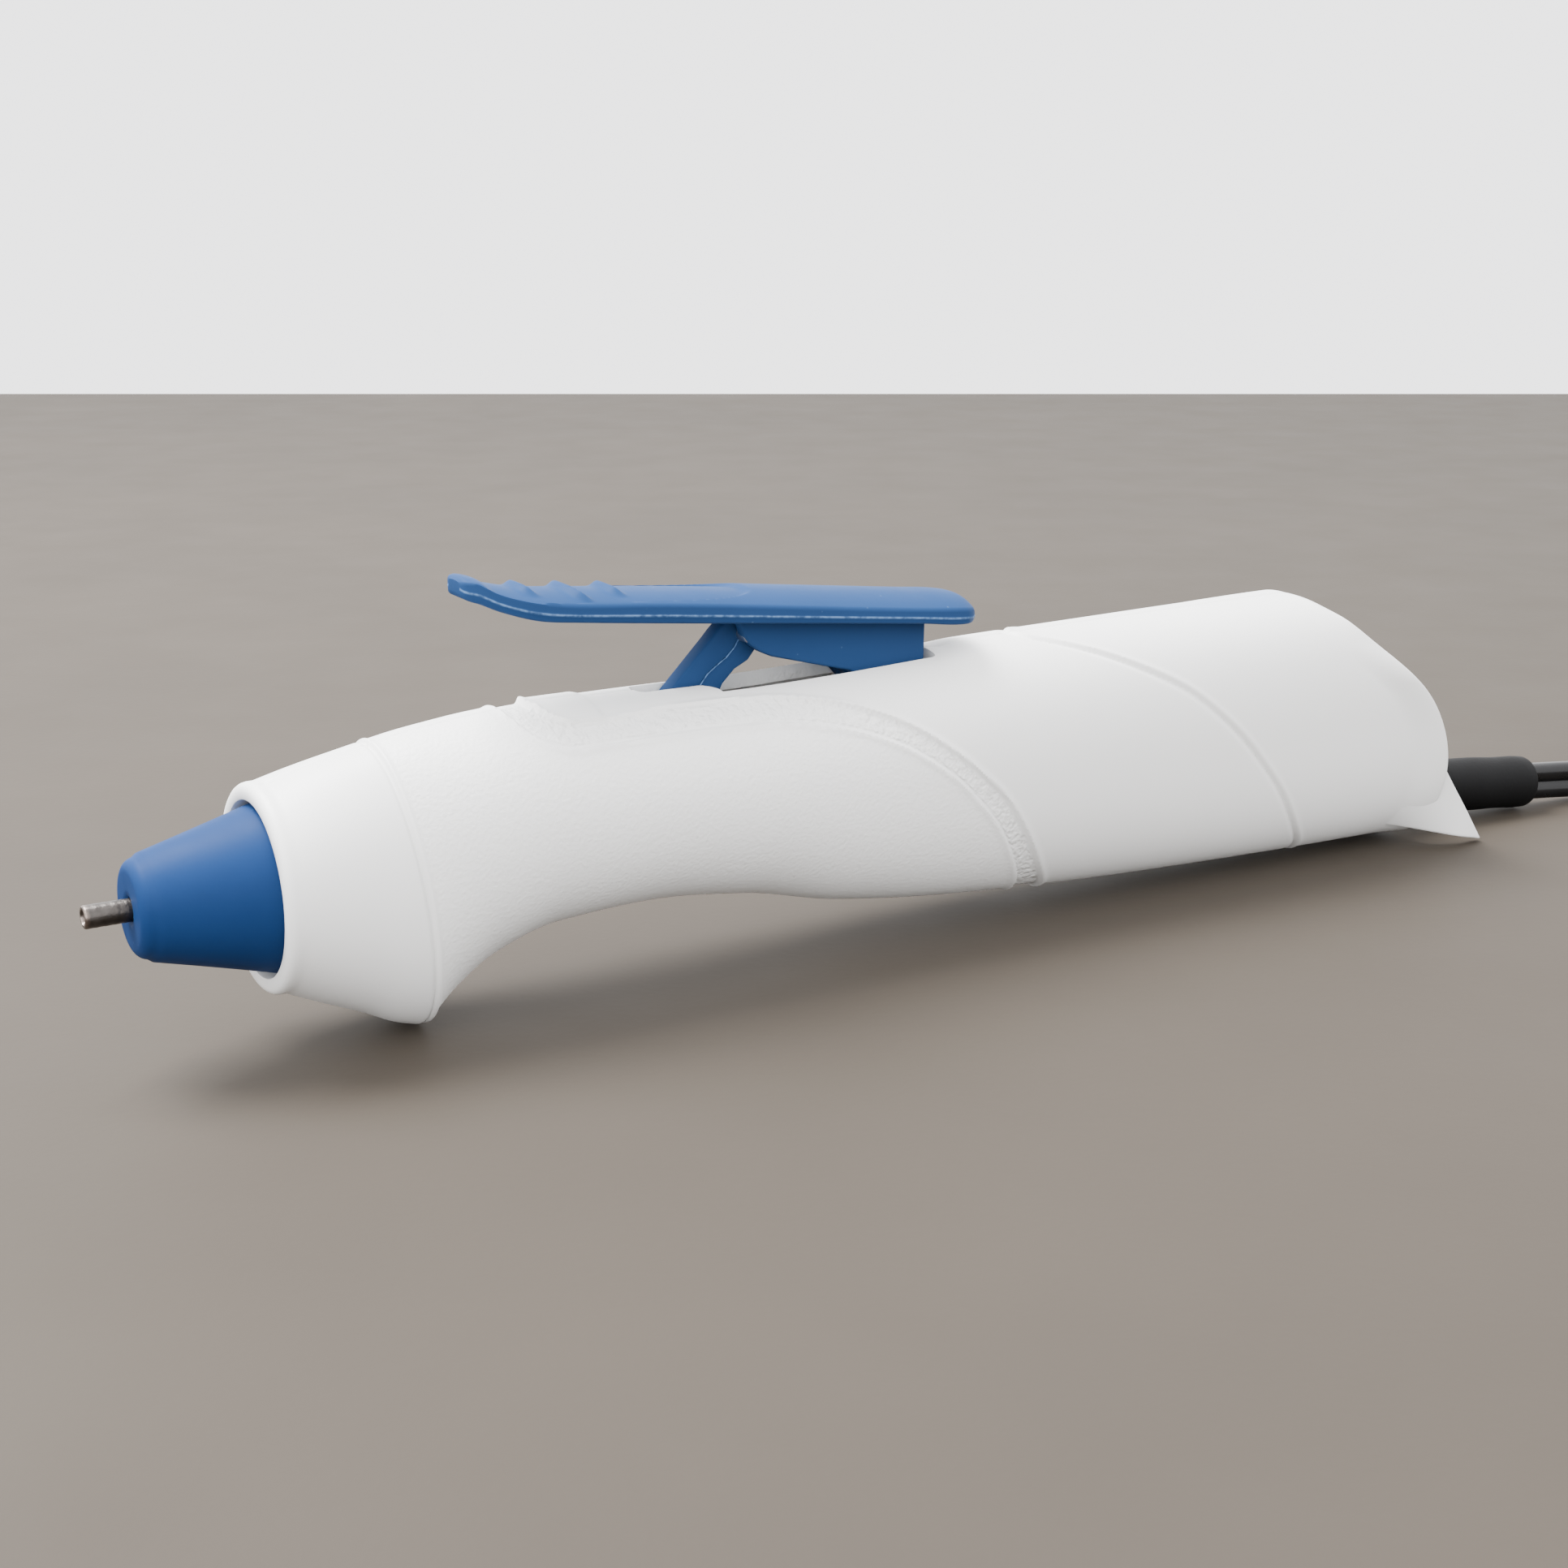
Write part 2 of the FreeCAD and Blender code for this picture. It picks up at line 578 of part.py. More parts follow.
def cord_tie():
    """Strap over the hank, just ahead of the plug."""
    gap, thickness = 0.1, 0.9
    reach = hank_outside + gap
    outer_reach = reach + thickness
    outside = box(tie_front, tie_rear, hank_middle - outer_reach, hank_middle + outer_reach,
                  0, hank_top + gap + thickness)
    inside = box(tie_front - 1, tie_rear + 1, hank_middle - reach, hank_middle + reach, -1, hank_top + gap)
    return outside.cut(inside)


def plug_body():
    """Moulded plug lying inside the hank, pointing back to the pen."""
    collar = Part.makeCone(3.4, 5.2, 8.5, V(plug_rear, hank_middle, plug_height), V(-1, 0, 0))
    grip = box(plug_rear - 28.0, plug_rear - 8.0, hank_middle - 11.0, hank_middle + 11.0,
               0.0, 2 * plug_height)
    grip = grip.makeFillet(3.0, [e for e in grip.Edges if e.BoundBox.XLength > 19])
    return fuse(collar, grip)


def plug_blades():
    """Two flat blades of the plug."""
    blades = []
    tip = plug_rear - 44.0
    for offset in (hank_middle - 6.35, hank_middle + 6.35):
        blade = box(tip, plug_rear - 28.0, offset - 0.75, offset + 0.75, plug_height - 3.2, plug_height + 3.2)
        corners = [e for e in blade.Edges if e.BoundBox.XMax < tip + 0.1 and e.BoundBox.YLength > 1.4]
        blades.append(blade.makeFillet(1.2, corners))
    return Part.makeCompound(blades)


# ---------------------------------------------------------------- write every node
os.makedirs("parts", exist_ok=True)

left_shell = shell(-1)
right_shell = shell(1)
write("left_shell", left_shell)
write("right_shell", right_shell)
write("shell_screws", Part.makeCompound([screw(x, z, 7.5, -7.0, screw_head_radius, screw_radius)
                                         for x, z in screw_places]))

write("nose_sleeve", nose_sleeve())
write("nozzle_tip", nozzle_tip())
write("melt_chamber", melt_chamber())
write("heater_film", heater_film())
write("heater_plates", heater_plates())
write("heater_pill", heater_pill())
write("chamber_cradle", chamber_cradle())
write("feed_sleeve", feed_sleeve())
write("sleeve_clamp", sleeve_clamp())

write("feed_carriage", feed_carriage())
write("carriage_pin", rod_y(*carriage_pivot, -3.2, 3.2, link_pin_radius))
write("grip_plate", grip_plate())
write("return_spring", return_spring())
write("trigger_lever", trigger_lever())
write("lever_pin", rod_y(*lever_pivot, -8.8, 8.8, lever_pin_radius))
write("link_pin", rod_y(*link_pivot, -cheek_outer, cheek_outer, link_pin_radius))
write("push_link", push_link())

write("stick_guide", stick_guide())
write("live_lead", inner_lead(1, True))
write("neutral_lead", inner_lead(-1, False))
write("thermal_fuse", thermal_fuse())
write("inner_cord", inner_cord())
write("cord_clamp", cord_clamp())
write("clamp_screws", Part.makeCompound([screw(x, 12.0, 3.3, -6.0, 1.7, 0.8) for x in (134.0, 143.0)]))
write("strain_relief", strain_relief())

write("power_cord", path_tube(cord_route, cord_width / 2, "power cord"), 0)
write("cord_hank", cord_hank(), 0)
write("cord_tie", cord_tie(), 0)
write("plug_lead", path_tube(plug_route, cord_width / 2, "plug lead"), 0)
write("plug_body", plug_body(), 0)
write("plug_blades", plug_blades(), 0)
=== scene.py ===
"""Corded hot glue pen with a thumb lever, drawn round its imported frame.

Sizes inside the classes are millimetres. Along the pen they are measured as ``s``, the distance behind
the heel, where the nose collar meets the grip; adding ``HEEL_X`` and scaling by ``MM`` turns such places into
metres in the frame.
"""

import logging
import math
from dataclasses import dataclass
from enum import Enum

import bmesh
import bpy
import numpy as np
from mathutils import Euler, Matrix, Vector


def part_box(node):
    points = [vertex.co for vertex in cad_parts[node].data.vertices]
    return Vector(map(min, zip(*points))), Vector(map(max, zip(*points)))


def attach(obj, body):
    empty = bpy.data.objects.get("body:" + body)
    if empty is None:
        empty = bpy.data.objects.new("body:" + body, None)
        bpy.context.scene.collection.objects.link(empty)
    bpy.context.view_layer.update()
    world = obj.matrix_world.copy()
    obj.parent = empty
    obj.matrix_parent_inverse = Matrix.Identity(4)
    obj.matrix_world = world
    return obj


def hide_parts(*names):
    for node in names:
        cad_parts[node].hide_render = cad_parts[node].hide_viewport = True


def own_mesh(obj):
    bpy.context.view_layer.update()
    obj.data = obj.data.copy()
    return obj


logging.basicConfig(level=logging.INFO, format="%(message)s")
log = logging.getLogger("glue_pen")

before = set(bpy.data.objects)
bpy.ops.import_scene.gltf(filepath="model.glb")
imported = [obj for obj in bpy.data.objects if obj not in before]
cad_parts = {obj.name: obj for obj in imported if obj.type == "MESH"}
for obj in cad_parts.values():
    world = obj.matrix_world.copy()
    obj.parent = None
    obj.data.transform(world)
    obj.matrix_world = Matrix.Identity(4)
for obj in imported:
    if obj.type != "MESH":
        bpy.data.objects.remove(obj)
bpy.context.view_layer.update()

Piece, Tree, Socket = bpy.types.Object, bpy.types.NodeTree, bpy.types.NodeSocket
Triple = tuple[float, float, float]
Table = tuple[tuple[float, float], ...]

MM = 0.001
NOZZLE_REACH = 37.7
HEEL_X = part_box("nozzle_tip")[0].x / MM + NOZZLE_REACH
AXIS_HEIGHT = 19.7


class Body(Enum):
    """CAD bodies that a piece can ride on."""

    CASING = "casing"
    LEVER = "lever"
    LINK = "link"
    CARRIAGE = "carriage"


# ---------------------------------------------------------------- curves and tables
def smooth_table(at_x: np.ndarray, knots: Table) -> np.ndarray:
    """Read a table of (place, value) knots through a monotone cubic, which never overshoots them.

    Args:
        at_x: Places to read, of any shape.
        knots: Knots in rising order of place.

    Returns:
        The values, in the shape of at_x.
    """
    x, y = np.array(knots, float).T
    step = np.diff(x)
    slope = np.diff(y) / step
    tangent = np.zeros(len(x))
    tangent[0], tangent[-1] = slope[0], slope[-1]
    for i in range(1, len(x) - 1):
        if slope[i - 1] * slope[i] > 0:
            w1, w2 = 2 * step[i] + step[i - 1], step[i] + 2 * step[i - 1]
            tangent[i] = (w1 + w2) / (w1 / slope[i - 1] + w2 / slope[i])
    v = np.clip(np.asarray(at_x, float), x[0], x[-1])
    i = np.clip(np.searchsorted(x, v, side="right") - 1, 0, len(x) - 2)
    t = (v - x[i]) / step[i]
    near = (1 + 2 * t) * (1 - t) ** 2 * y[i] + t * (1 - t) ** 2 * step[i] * tangent[i]
    far = t * t * (3 - 2 * t) * y[i + 1] + t * t * (t - 1) * step[i] * tangent[i + 1]
    return near + far


def ease(t: np.ndarray) -> np.ndarray:
    """Smooth step from 0 at t = 0 to 1 at t = 1."""
    t = np.clip(t, 0.0, 1.0)
    return t * t * (3 - 2 * t)


def squared_off(v: np.ndarray, power: np.ndarray | float) -> np.ndarray:
    """Raise the size of a sine or cosine to a power and keep its sign, to square a round section off."""
    return np.sign(v) * np.abs(v) ** power


def circle(count: int) -> np.ndarray:
    """Even angles round a full turn."""
    return np.linspace(0, 2 * math.pi, count, endpoint=False)


def unit(vectors: np.ndarray) -> np.ndarray:
    """Scale vectors to length 1."""
    return vectors / np.linalg.norm(vectors, axis=-1, keepdims=True)


def ridge(distance: np.ndarray, width: float) -> np.ndarray:
    """Bell of height 1 across a line, for grooves, welts and ribs."""
    return np.exp(-((distance / width) ** 2))


def rounded_line(points: Table, steps: int = 6) -> np.ndarray:
    """Pass a smooth line through a few points of an outline.

    Args:
        points: Corners of the outline.
        steps: Pieces that each span is cut into.

    Returns:
        The points of the line, one row each.
    """
    p = np.array(points, float)
    p = np.vstack([2 * p[0] - p[1], p, 2 * p[-1] - p[-2]])
    t = np.linspace(0, 1, steps, endpoint=False)[:, None]
    spans = []
    for a, b, c, d in zip(p, p[1:], p[2:], p[3:]):
        square, cube = 2 * a - 5 * b + 4 * c - d, 3 * b - a - 3 * c + d
        spans.append(0.5 * (2 * b + (c - a) * t + square * t**2 + cube * t**3))
    return np.vstack([*spans, p[-2]])


def line_distance(x: np.ndarray, z: np.ndarray, line: np.ndarray, facing: np.ndarray) -> np.ndarray:
    """Signed distance over a curved side to a line drawn on its side view.

    Args:
        x: Places along the pen.
        z: Heights.
        line: Points of the line, from front to rear.
        facing: Share of the surface's normal that points sideways, which foreshortens heights.

    Returns:
        Distances, positive below and ahead of the line.
    """
    best = np.full(x.shape, 1e9)
    signed = np.zeros(x.shape)
    for (ax, az), (bx, bz) in zip(line, line[1:]):
        dx, dz = bx - ax, bz - az
        long = math.hypot(dx, dz)
        t = np.clip(((x - ax) * dx + (z - az) * dz) / long**2, 0, 1)
        ox, oz = x - ax - t * dx, z - az - t * dz
        flat = np.hypot(ox, oz)
        seen = np.sqrt((dz / long) ** 2 + (dx / long * np.maximum(facing, 0.25)) ** 2)
        side = np.where((z - az) * dx - (x - ax) * dz > 0, -1.0, 1.0)
        closer = flat < best
        signed = np.where(closer, side * flat / seen, signed)
        best = np.where(closer, flat, best)
    return signed


# ---------------------------------------------------------------- mesh making
def deselect() -> None:
    """Leave edit mode and clear the selection."""
    if bpy.context.object and bpy.context.object.mode != "OBJECT":
        bpy.ops.object.mode_set(mode="OBJECT")
    bpy.ops.object.select_all(action="DESELECT")


def pick(obj: Piece) -> None:
    """Make one object the only selected one, and active."""
    deselect()
    obj.select_set(True)
    bpy.context.view_layer.objects.active = obj


def solid(name: str, points: np.ndarray, faces: list[tuple[int, ...]]) -> Piece:
    """Make a closed piece from points along the pen and its faces, with its normals outwards.

    Args:
        name: Name of the piece.
        points: Rows of s, y and z in millimetres.
        faces: Corner numbers of each face.

    Returns:
        The new object, at the origin.
    """
    mesh = bpy.data.meshes.new(name)
    placed = (np.asarray(points, float) + (HEEL_X, 0, 0)) * MM
    mesh.from_pydata(placed.tolist(), [], faces)
    obj = bpy.data.objects.new(name, mesh)
    bpy.context.scene.collection.objects.link(obj)
    outward(obj)
    return obj


def outward(obj: Piece) -> None:
    """Merge doubled points and turn every face outwards."""
    edit = bmesh.new()
    edit.from_mesh(obj.data)
    bmesh.ops.remove_doubles(edit, verts=edit.verts, dist=1e-7)
    bmesh.ops.recalc_face_normals(edit, faces=edit.faces)
    edit.to_mesh(obj.data)
    edit.free()
    obj.data.update()


def round_edges(obj: Piece, width: float, segments: int, degrees: float) -> None:
    """Round the edges of a piece that turn by more than an angle, by a width in millimetres.

    Args:
        obj: The piece.
        width: Width of the rounding.
        segments: Facets across the rounding.
        degrees: Least angle between two faces whose edge is rounded.
    """
    pick(obj)
    rounding = obj.modifiers.new("rounding", "BEVEL")
    rounding.width, rounding.segments, rounding.limit_method = width * MM, segments, "ANGLE"
    rounding.angle_limit = math.radians(degrees)
    bpy.ops.object.modifier_apply(modifier=rounding.name)


def loft(name: str, rings: list | np.ndarray) -> Piece:
    """Skin a row of rings of points that each close on themselves, with a cap at both ends.

    Args:
        name: Name of the piece.
        rings: Rings of s, y and z in millimetres, with as many points in each.

    Returns:
        The new object.
    """
    points = np.array(rings, float)
    count, around = points.shape[:2]
    faces = []
    for a in range(0, (count - 1) * around, around):
        b = a + around
        faces += [(a + j, b + j, b + (j + 1) % around, a + (j + 1) % around) for j in range(around)]
    faces += [tuple(range(around)), tuple(range((count - 1) * around, count * around))]
    return solid(name, points.reshape(-1, 3), faces)


def turned(name: str, profile: list[tuple[float, float]], steps: int) -> Piece:
    """Spin a closed profile about the glue path.

    Args:
        name: Name of the piece.
        profile: Corners as (s, radius), going round the section.
        steps: Facets round the axis.

    Returns:
        The new object.
    """
    mesh = bpy.data.meshes.new(name)
    points = [((s + HEEL_X) * MM, 0.0, (AXIS_HEIGHT + r) * MM) for s, r in profile]
    edges = [(i, (i + 1) % len(points)) for i in range(len(points))]
    mesh.from_pydata(points, edges, [])
    obj = bpy.data.objects.new(name, mesh)
    bpy.context.scene.collection.objects.link(obj)
    pick(obj)
    bpy.ops.object.mode_set(mode="EDIT")
    bpy.ops.mesh.select_all(action="SELECT")
    bpy.ops.mesh.spin(steps=steps, angle=2 * math.pi, center=(0, 0, AXIS_HEIGHT * MM), axis=(1, 0, 0))
    bpy.ops.mesh.select_all(action="SELECT")
    bpy.ops.mesh.remove_doubles(threshold=1e-6)
    bpy.ops.mesh.normals_make_consistent(inside=False)
    bpy.ops.object.mode_set(mode="OBJECT")
    return obj


def slab(name: str, outline: list[tuple[float, float]], y0: float, y1: float, bevel: float = 0.0,
         upright: bool = False) -> Piece:
    """Extrude an outline and round its edges.

    Args:
        name: Name of the piece.
        outline: Corners as (s, z), or as (s, y) for an upright slab.
        y0: Where the extrusion starts, along Y or up.
        y1: Where it ends.
        bevel: Width of the rounding, or 0 for none.
        upright: Whether the outline is a plan extruded upwards.

    Returns:
        The new object.
    """
    flat = [(s, v, y0) if upright else (s, y0, v) for s, v in outline]
    obj = solid(name, np.array(flat), [tuple(range(len(flat)))])
    pick(obj)
    bpy.ops.object.mode_set(mode="EDIT")
    bpy.ops.mesh.select_all(action="SELECT")
    travel = (0, 0, (y1 - y0) * MM) if upright else (0, (y1 - y0) * MM, 0)
    bpy.ops.mesh.extrude_region_move(TRANSFORM_OT_translate={"value": travel})
    bpy.ops.mesh.select_all(action="SELECT")
    bpy.ops.mesh.normals_make_consistent(inside=False)
    bpy.ops.object.mode_set(mode="OBJECT")
    if bevel:
        round_edges(obj, bevel, 3, 35)
    return obj


def rod(name: str, s: float, z: float, y0: float, y1: float, radius: float,
        along_x: bool = False) -> Piece:
    """Round bar across the pen, or along it from s = y0 to y1.

    Args:
        name: Name of the piece.
        s: Place of its axis along the pen; its sideways place when it lies along the pen.
        z: Height of its axis.
        y0: Where it starts.
        y1: Where it ends.
        radius: Its radius.
        along_x: Whether it lies along the pen.

    Returns:
        The new object.
    """
    deselect()
    middle = (y0 + y1) / 2
    place = ((middle + HEEL_X) * MM, s * MM, z * MM) if along_x else ((s + HEEL_X) * MM, middle * MM, z * MM)
    turn = (0, math.pi / 2, 0) if along_x else (math.pi / 2, 0, 0)
    bpy.ops.mesh.primitive_cylinder_add(vertices=48, radius=radius * MM, depth=(y1 - y0) * MM, location=place,
                                        rotation=turn)
    obj = bpy.context.object
    obj.name = name
    bpy.ops.object.transform_apply(location=True, rotation=True, scale=True)
    return obj


def carve(obj: Piece, *cutters: Piece) -> None:
    """Cut solids out of a piece, then delete them.

    Args:
        obj: The piece.
        cutters: The solids to cut out.
    """
    for cutter in cutters:
        pick(obj)
        cut = obj.modifiers.new("cut", "BOOLEAN")
        cut.operation, cut.solver, cut.object = "DIFFERENCE", "MANIFOLD", cutter
        bpy.ops.object.modifier_apply(modifier=cut.name)
        bpy.data.objects.remove(cutter)


def merge(first: Piece, *others: Piece) -> Piece:
    """Join pieces into the first one.

    Args:
        first: The piece that stays.
        others: The pieces that it takes in.

    Returns:
        The first piece.
    """
    pick(first)
    for other in others:
        other.select_set(True)
    bpy.ops.object.join()
    return first


def smooth(obj: Piece, degrees: float) -> Piece:
    """Shade a piece smooth up to an angle, and return it."""
    pick(obj)
    bpy.ops.object.shade_smooth_by_angle(angle=math.radians(degrees))
    return obj


def paint(obj: Piece, name: str, values: np.ndarray) -> None:
    """Store one number per point for a material to read."""
    layer = obj.data.attributes.new(name, "FLOAT", "POINT")
    layer.data.foreach_set("value", np.asarray(values, np.float32))


def places(obj: Piece) -> np.ndarray:
    """Points of a piece as rows of s, y and z in millimetres."""
    co = np.zeros(len(obj.data.vertices) * 3, np.float32)
    obj.data.vertices.foreach_get("co", co)
    return co.reshape(-1, 3).astype(float) / MM - (HEEL_X, 0, 0)


# ---------------------------------------------------------------- finishes
def feed(tree: Tree, value: object, socket: Socket) -> None:
    """Link a socket to another node's output, or set it to a constant.

    Args:
        tree: The material's nodes.
        value: An output or a constant.
        socket: The input to feed.
    """
    if isinstance(value, Socket):
        tree.links.new(value, socket)
    else:
        socket.default_value = value


def shader_node(tree: Tree, kind: str, output: str, **inputs: object) -> Socket:
    """Add a shader node.

    Args:
        tree: The material's nodes.
        kind: The node's type, without its prefix.
        output: The output to return.
        inputs: Links or constants for its inputs, with underscores for spaces.

    Returns:
        The named output.
    """
    node = tree.nodes.new("ShaderNode" + kind)
    for name, value in inputs.items():
        feed(tree, value, node.inputs[name.replace("_", " ")])
    return node.outputs[output]


def noise(tree: Tree, place: Socket, size: float,
          detail: float) -> Socket:
    """Noise with lumps of a size in millimetres."""
    return shader_node(tree, "TexNoise", "Fac", Vector=place, Scale=1 / (size * MM), Detail=detail)


def maths(tree: Tree, operation: str, *values: object) -> Socket:
    """Combine two numbers.

    Args:
        tree: The material's nodes.
        operation: What to do with them.
        values: Outputs or constants.

    Returns:
        The result.
    """
    node = tree.nodes.new("ShaderNodeMath")
    node.operation = operation
    for socket, value in zip(node.inputs, values):
        feed(tree, value, socket)
    return node.outputs[0]


def mixed(tree: Tree, share: object, first: object, second: object) -> Socket:
    """Mix a share of the second colour into the first.

    Args:
        tree: The material's nodes.
        share: How much of the second colour there is.
        first: The first colour.
        second: The second colour.

    Returns:
        The mixed colour.
    """
    node = tree.nodes.new("ShaderNodeMix")
    node.data_type = "RGBA"
    for name, value in (("Factor", share), ("A", first), ("B", second)):
        feed(tree, value, node.inputs[name])
    return node.outputs["Result"]


def painted(tree: Tree, name: str) -> Socket:
    """Read numbers painted on the points."""
    node = tree.nodes.new("ShaderNodeAttribute")
    node.attribute_name = name
    return node.outputs["Fac"]


@dataclass(frozen=True)
class Finish:
    """A material: its colour and gloss, a fine grain, and slow changes of tone."""

    name: str
    colour: Triple
    roughness: float
    metallic: float = 0.0
    grain: float = 0.4
    grain_depth: float = 0.01
    mottle: float = 0.05
    mottle_size: float = 9.0
    gloss_change: float = 0.06
    coat: float = 0.0
    subsurface: float = 0.0
    specks: float = 0.0
    speck_gap: float = 2.6
    speck_colour: Triple = (0.14, 0.22, 0.36)
    specular: float = 0.4

    def build(self) -> bpy.types.Material:
        """Make the material's nodes."""
        material = bpy.data.materials.new(self.name)
        material.use_nodes = True
        tree = material.node_tree
        shader = tree.nodes["Principled BSDF"]
        for socket, value in (("Metallic", self.metallic), ("Specular IOR Level", self.specular),
                              ("Coat Weight", self.coat), ("Coat Roughness", 0.12),
                              ("Subsurface Weight", self.subsurface),
                              ("Subsurface Radius", (0.4, 0.7, 1.0)), ("Subsurface Scale", 0.002)):
            shader.inputs[socket].default_value = value
        place = shader_node(tree, "TexCoord", "Object")
        darker, lighter = ((*[min(1.0, c * change) for c in self.colour], 1)
                           for change in (1 - self.mottle, 1 + self.mottle))
        colour = mixed(tree, noise(tree, place, self.mottle_size, 3), darker, lighter)
        if self.specks:
            colour = self.speckled(tree, place, colour)
        feed(tree, self.marked(tree, place, colour), shader.inputs["Base Color"])
        gloss = shader_node(tree, "MapRange", "Result", Value=noise(tree, place, self.mottle_size / 3, 4),
                            To_Min=self.roughness - self.gloss_change,
                            To_Max=self.roughness + self.gloss_change)
        feed(tree, gloss, shader.inputs["Roughness"])
        bump = shader_node(tree, "Bump", "Normal", Distance=self.grain_depth * MM,
                           Height=self.height(tree, place))
        feed(tree, bump, shader.inputs["Normal"])
        return material

    def speckled(self, tree: Tree, place: Socket,
                 colour: Socket) -> Socket:
        """Scatter tiny pale specks over a colour."""
        dots = shader_node(tree, "TexVoronoi", "Distance", Vector=place, Scale=1 / (self.speck_gap * MM))
        near = shader_node(tree, "MapRange", "Result", Value=dots, From_Min=0.03, From_Max=0.07,
                           To_Min=self.specks, To_Max=0.0)
        return mixed(tree, near, colour, (*self.speck_colour, 1))

    def marked(self, tree: Tree, place: Socket,
               colour: Socket) -> Socket:
        """Marks that a special finish adds to the colour; plain finishes add none."""
        return colour

    def height(self, tree: Tree, place: Socket) -> Socket:
        """Height of the fine grain."""
        return noise(tree, place, self.grain, 2)


@dataclass(frozen=True)
class ShellFinish(Finish):
    """White moulded plastic: smooth, with a fine grain on the grip and a coarse one on the band."""

    def height(self, tree: Tree, place: Socket) -> Socket:
        """Grain whose size and depth follow the painted zones."""
        grains = [maths(tree, "MULTIPLY", maths(tree, "MULTIPLY", noise(tree, place, size, 1.5), depth),
                        painted(tree, zone))
                  for zone, size, depth in (("grip", 0.55, 1.0), ("band", 0.8, 5.0), ("plain", 0.5, 0.12))]
        return maths(tree, "ADD", maths(tree, "ADD", *grains[:2]), grains[2])


@dataclass(frozen=True)
class EdgedFinish(Finish):
    """A finish whose painted edges are paler: painted highlight along the lever's and link's flash lines, and
    wear on the nozzle's mouth.
    """

    # Paler colour of the painted edges: painted highlight on flash lines, wear on the nozzle's mouth.
    highlight_and_wear_colour: Triple = (0.12, 0.22, 0.42)

    def marked(self, tree: Tree, place: Socket,
               colour: Socket) -> Socket:
        """Lighten the painted edges, brokenly: painted highlight on flash lines, wear on the nozzle's mouth.
        """
        broken = shader_node(tree, "MapRange", "Result", Value=noise(tree, place, 0.7, 3), From_Min=0.35,
                             From_Max=0.6, To_Min=0.25)
        share = maths(tree, "MULTIPLY", painted(tree, "edge"), broken)
        return mixed(tree, share, colour, (*self.highlight_and_wear_colour, 1))


SHELL = ShellFinish("white_moulded_shell", (0.80, 0.80, 0.79), 0.42, grain_depth=0.075, mottle=0.012,
                    gloss_change=0.04)
# Blue plastic of the lever and link; its paler edge colour is a painted highlight along their flash lines.
LEVER = EdgedFinish("blue_lever_plastic", (0.0145, 0.042, 0.116), 0.50, grain=0.5, grain_depth=0.012,
                    mottle=0.07, specks=0.35, specular=0.03)
NOSE = Finish("blue_silicone", (0.0085, 0.030, 0.100), 0.52, grain=0.6, grain_depth=0.008, mottle=0.08,
              subsurface=0.15, specks=0.12, specular=0.04)
NOZZLE = EdgedFinish("heat_tinted_steel", (0.075, 0.068, 0.064), 0.36, metallic=1.0, grain=0.5,
                     grain_depth=0.05, mottle=0.5, mottle_size=1.6, gloss_change=0.14,
                     highlight_and_wear_colour=(0.20, 0.16, 0.14))
RUBBER = Finish("matte_black_rubber", (0.004, 0.004, 0.0043), 0.66, grain=0.5, grain_depth=0.03, mottle=0.25,
                specular=0.10)
CORD = Finish("glossy_black_cord", (0.005, 0.005, 0.0055), 0.28, grain=0.8, grain_depth=0.006, mottle=0.2,
              coat=0.10, specular=0.2)
STRAP = Finish("woven_strap", (0.022, 0.022, 0.024), 0.85, grain=0.3, grain_depth=0.12, mottle=0.4,
               mottle_size=0.8)
BRASS = Finish("plated_blades", (0.72, 0.64, 0.45), 0.28, metallic=1.0, grain=0.25, grain_depth=0.006,
               mottle=0.1)
SPRING = Finish("spring_steel", (0.52, 0.52, 0.54), 0.30, metallic=1.0, grain=0.3, grain_depth=0.008,
                mottle=0.1)
ALLOY = Finish("cast_alloy", (0.66, 0.67, 0.68), 0.48, metallic=1.0, grain=0.5, grain_depth=0.03, mottle=0.12)
CERAMIC = Finish("sintered_ceramic", (0.20, 0.20, 0.22), 0.7, grain=0.2, grain_depth=0.02, mottle=0.2)
FILM = Finish("amber_film", (0.60, 0.28, 0.04), 0.25, grain=1.5, grain_depth=0.01, mottle=0.12, coat=0.4)
RESIN = Finish("brown_resin", (0.17, 0.095, 0.05), 0.5, grain=0.4, grain_depth=0.02, mottle=0.15)
SILICONE = Finish("natural_silicone", (0.74, 0.72, 0.67), 0.5, grain=0.5, grain_depth=0.01, subsurface=0.2)
NYLON = Finish("natural_nylon", (0.66, 0.65, 0.58), 0.5, grain=0.4, grain_depth=0.012, subsurface=0.1)
SCREWS = Finish("zinc_screws", (0.47, 0.47, 0.49), 0.34, metallic=1.0, grain=0.3, grain_depth=0.012,
                mottle=0.12)
RED_LEAD = Finish("red_lead", (0.50, 0.03, 0.02), 0.38, grain=0.5, grain_depth=0.006)
WHITE_LEAD = Finish("white_lead", (0.72, 0.72, 0.68), 0.4, grain=0.5, grain_depth=0.006)

CAD_FINISHES = {
    SCREWS: ["shell_screws", "clamp_screws"],
    ALLOY: ["melt_chamber"],
    FILM: ["heater_film"],
    BRASS: ["heater_plates", "plug_blades"],
    CERAMIC: ["heater_pill"],
    RESIN: ["chamber_cradle"],
    SILICONE: ["feed_sleeve"],
    SPRING: ["sleeve_clamp", "carriage_pin", "grip_plate"],
    NYLON: ["feed_carriage", "stick_guide", "cord_clamp"],
    RED_LEAD: ["live_lead"],
    WHITE_LEAD: ["neutral_lead"],
    NOZZLE: ["thermal_fuse"],
    CORD: ["inner_cord"],
}


def dress(obj: Piece, material: bpy.types.Material) -> None:
    """Give a whole piece one material."""
    obj.data.materials.clear()
    obj.data.materials.append(material)


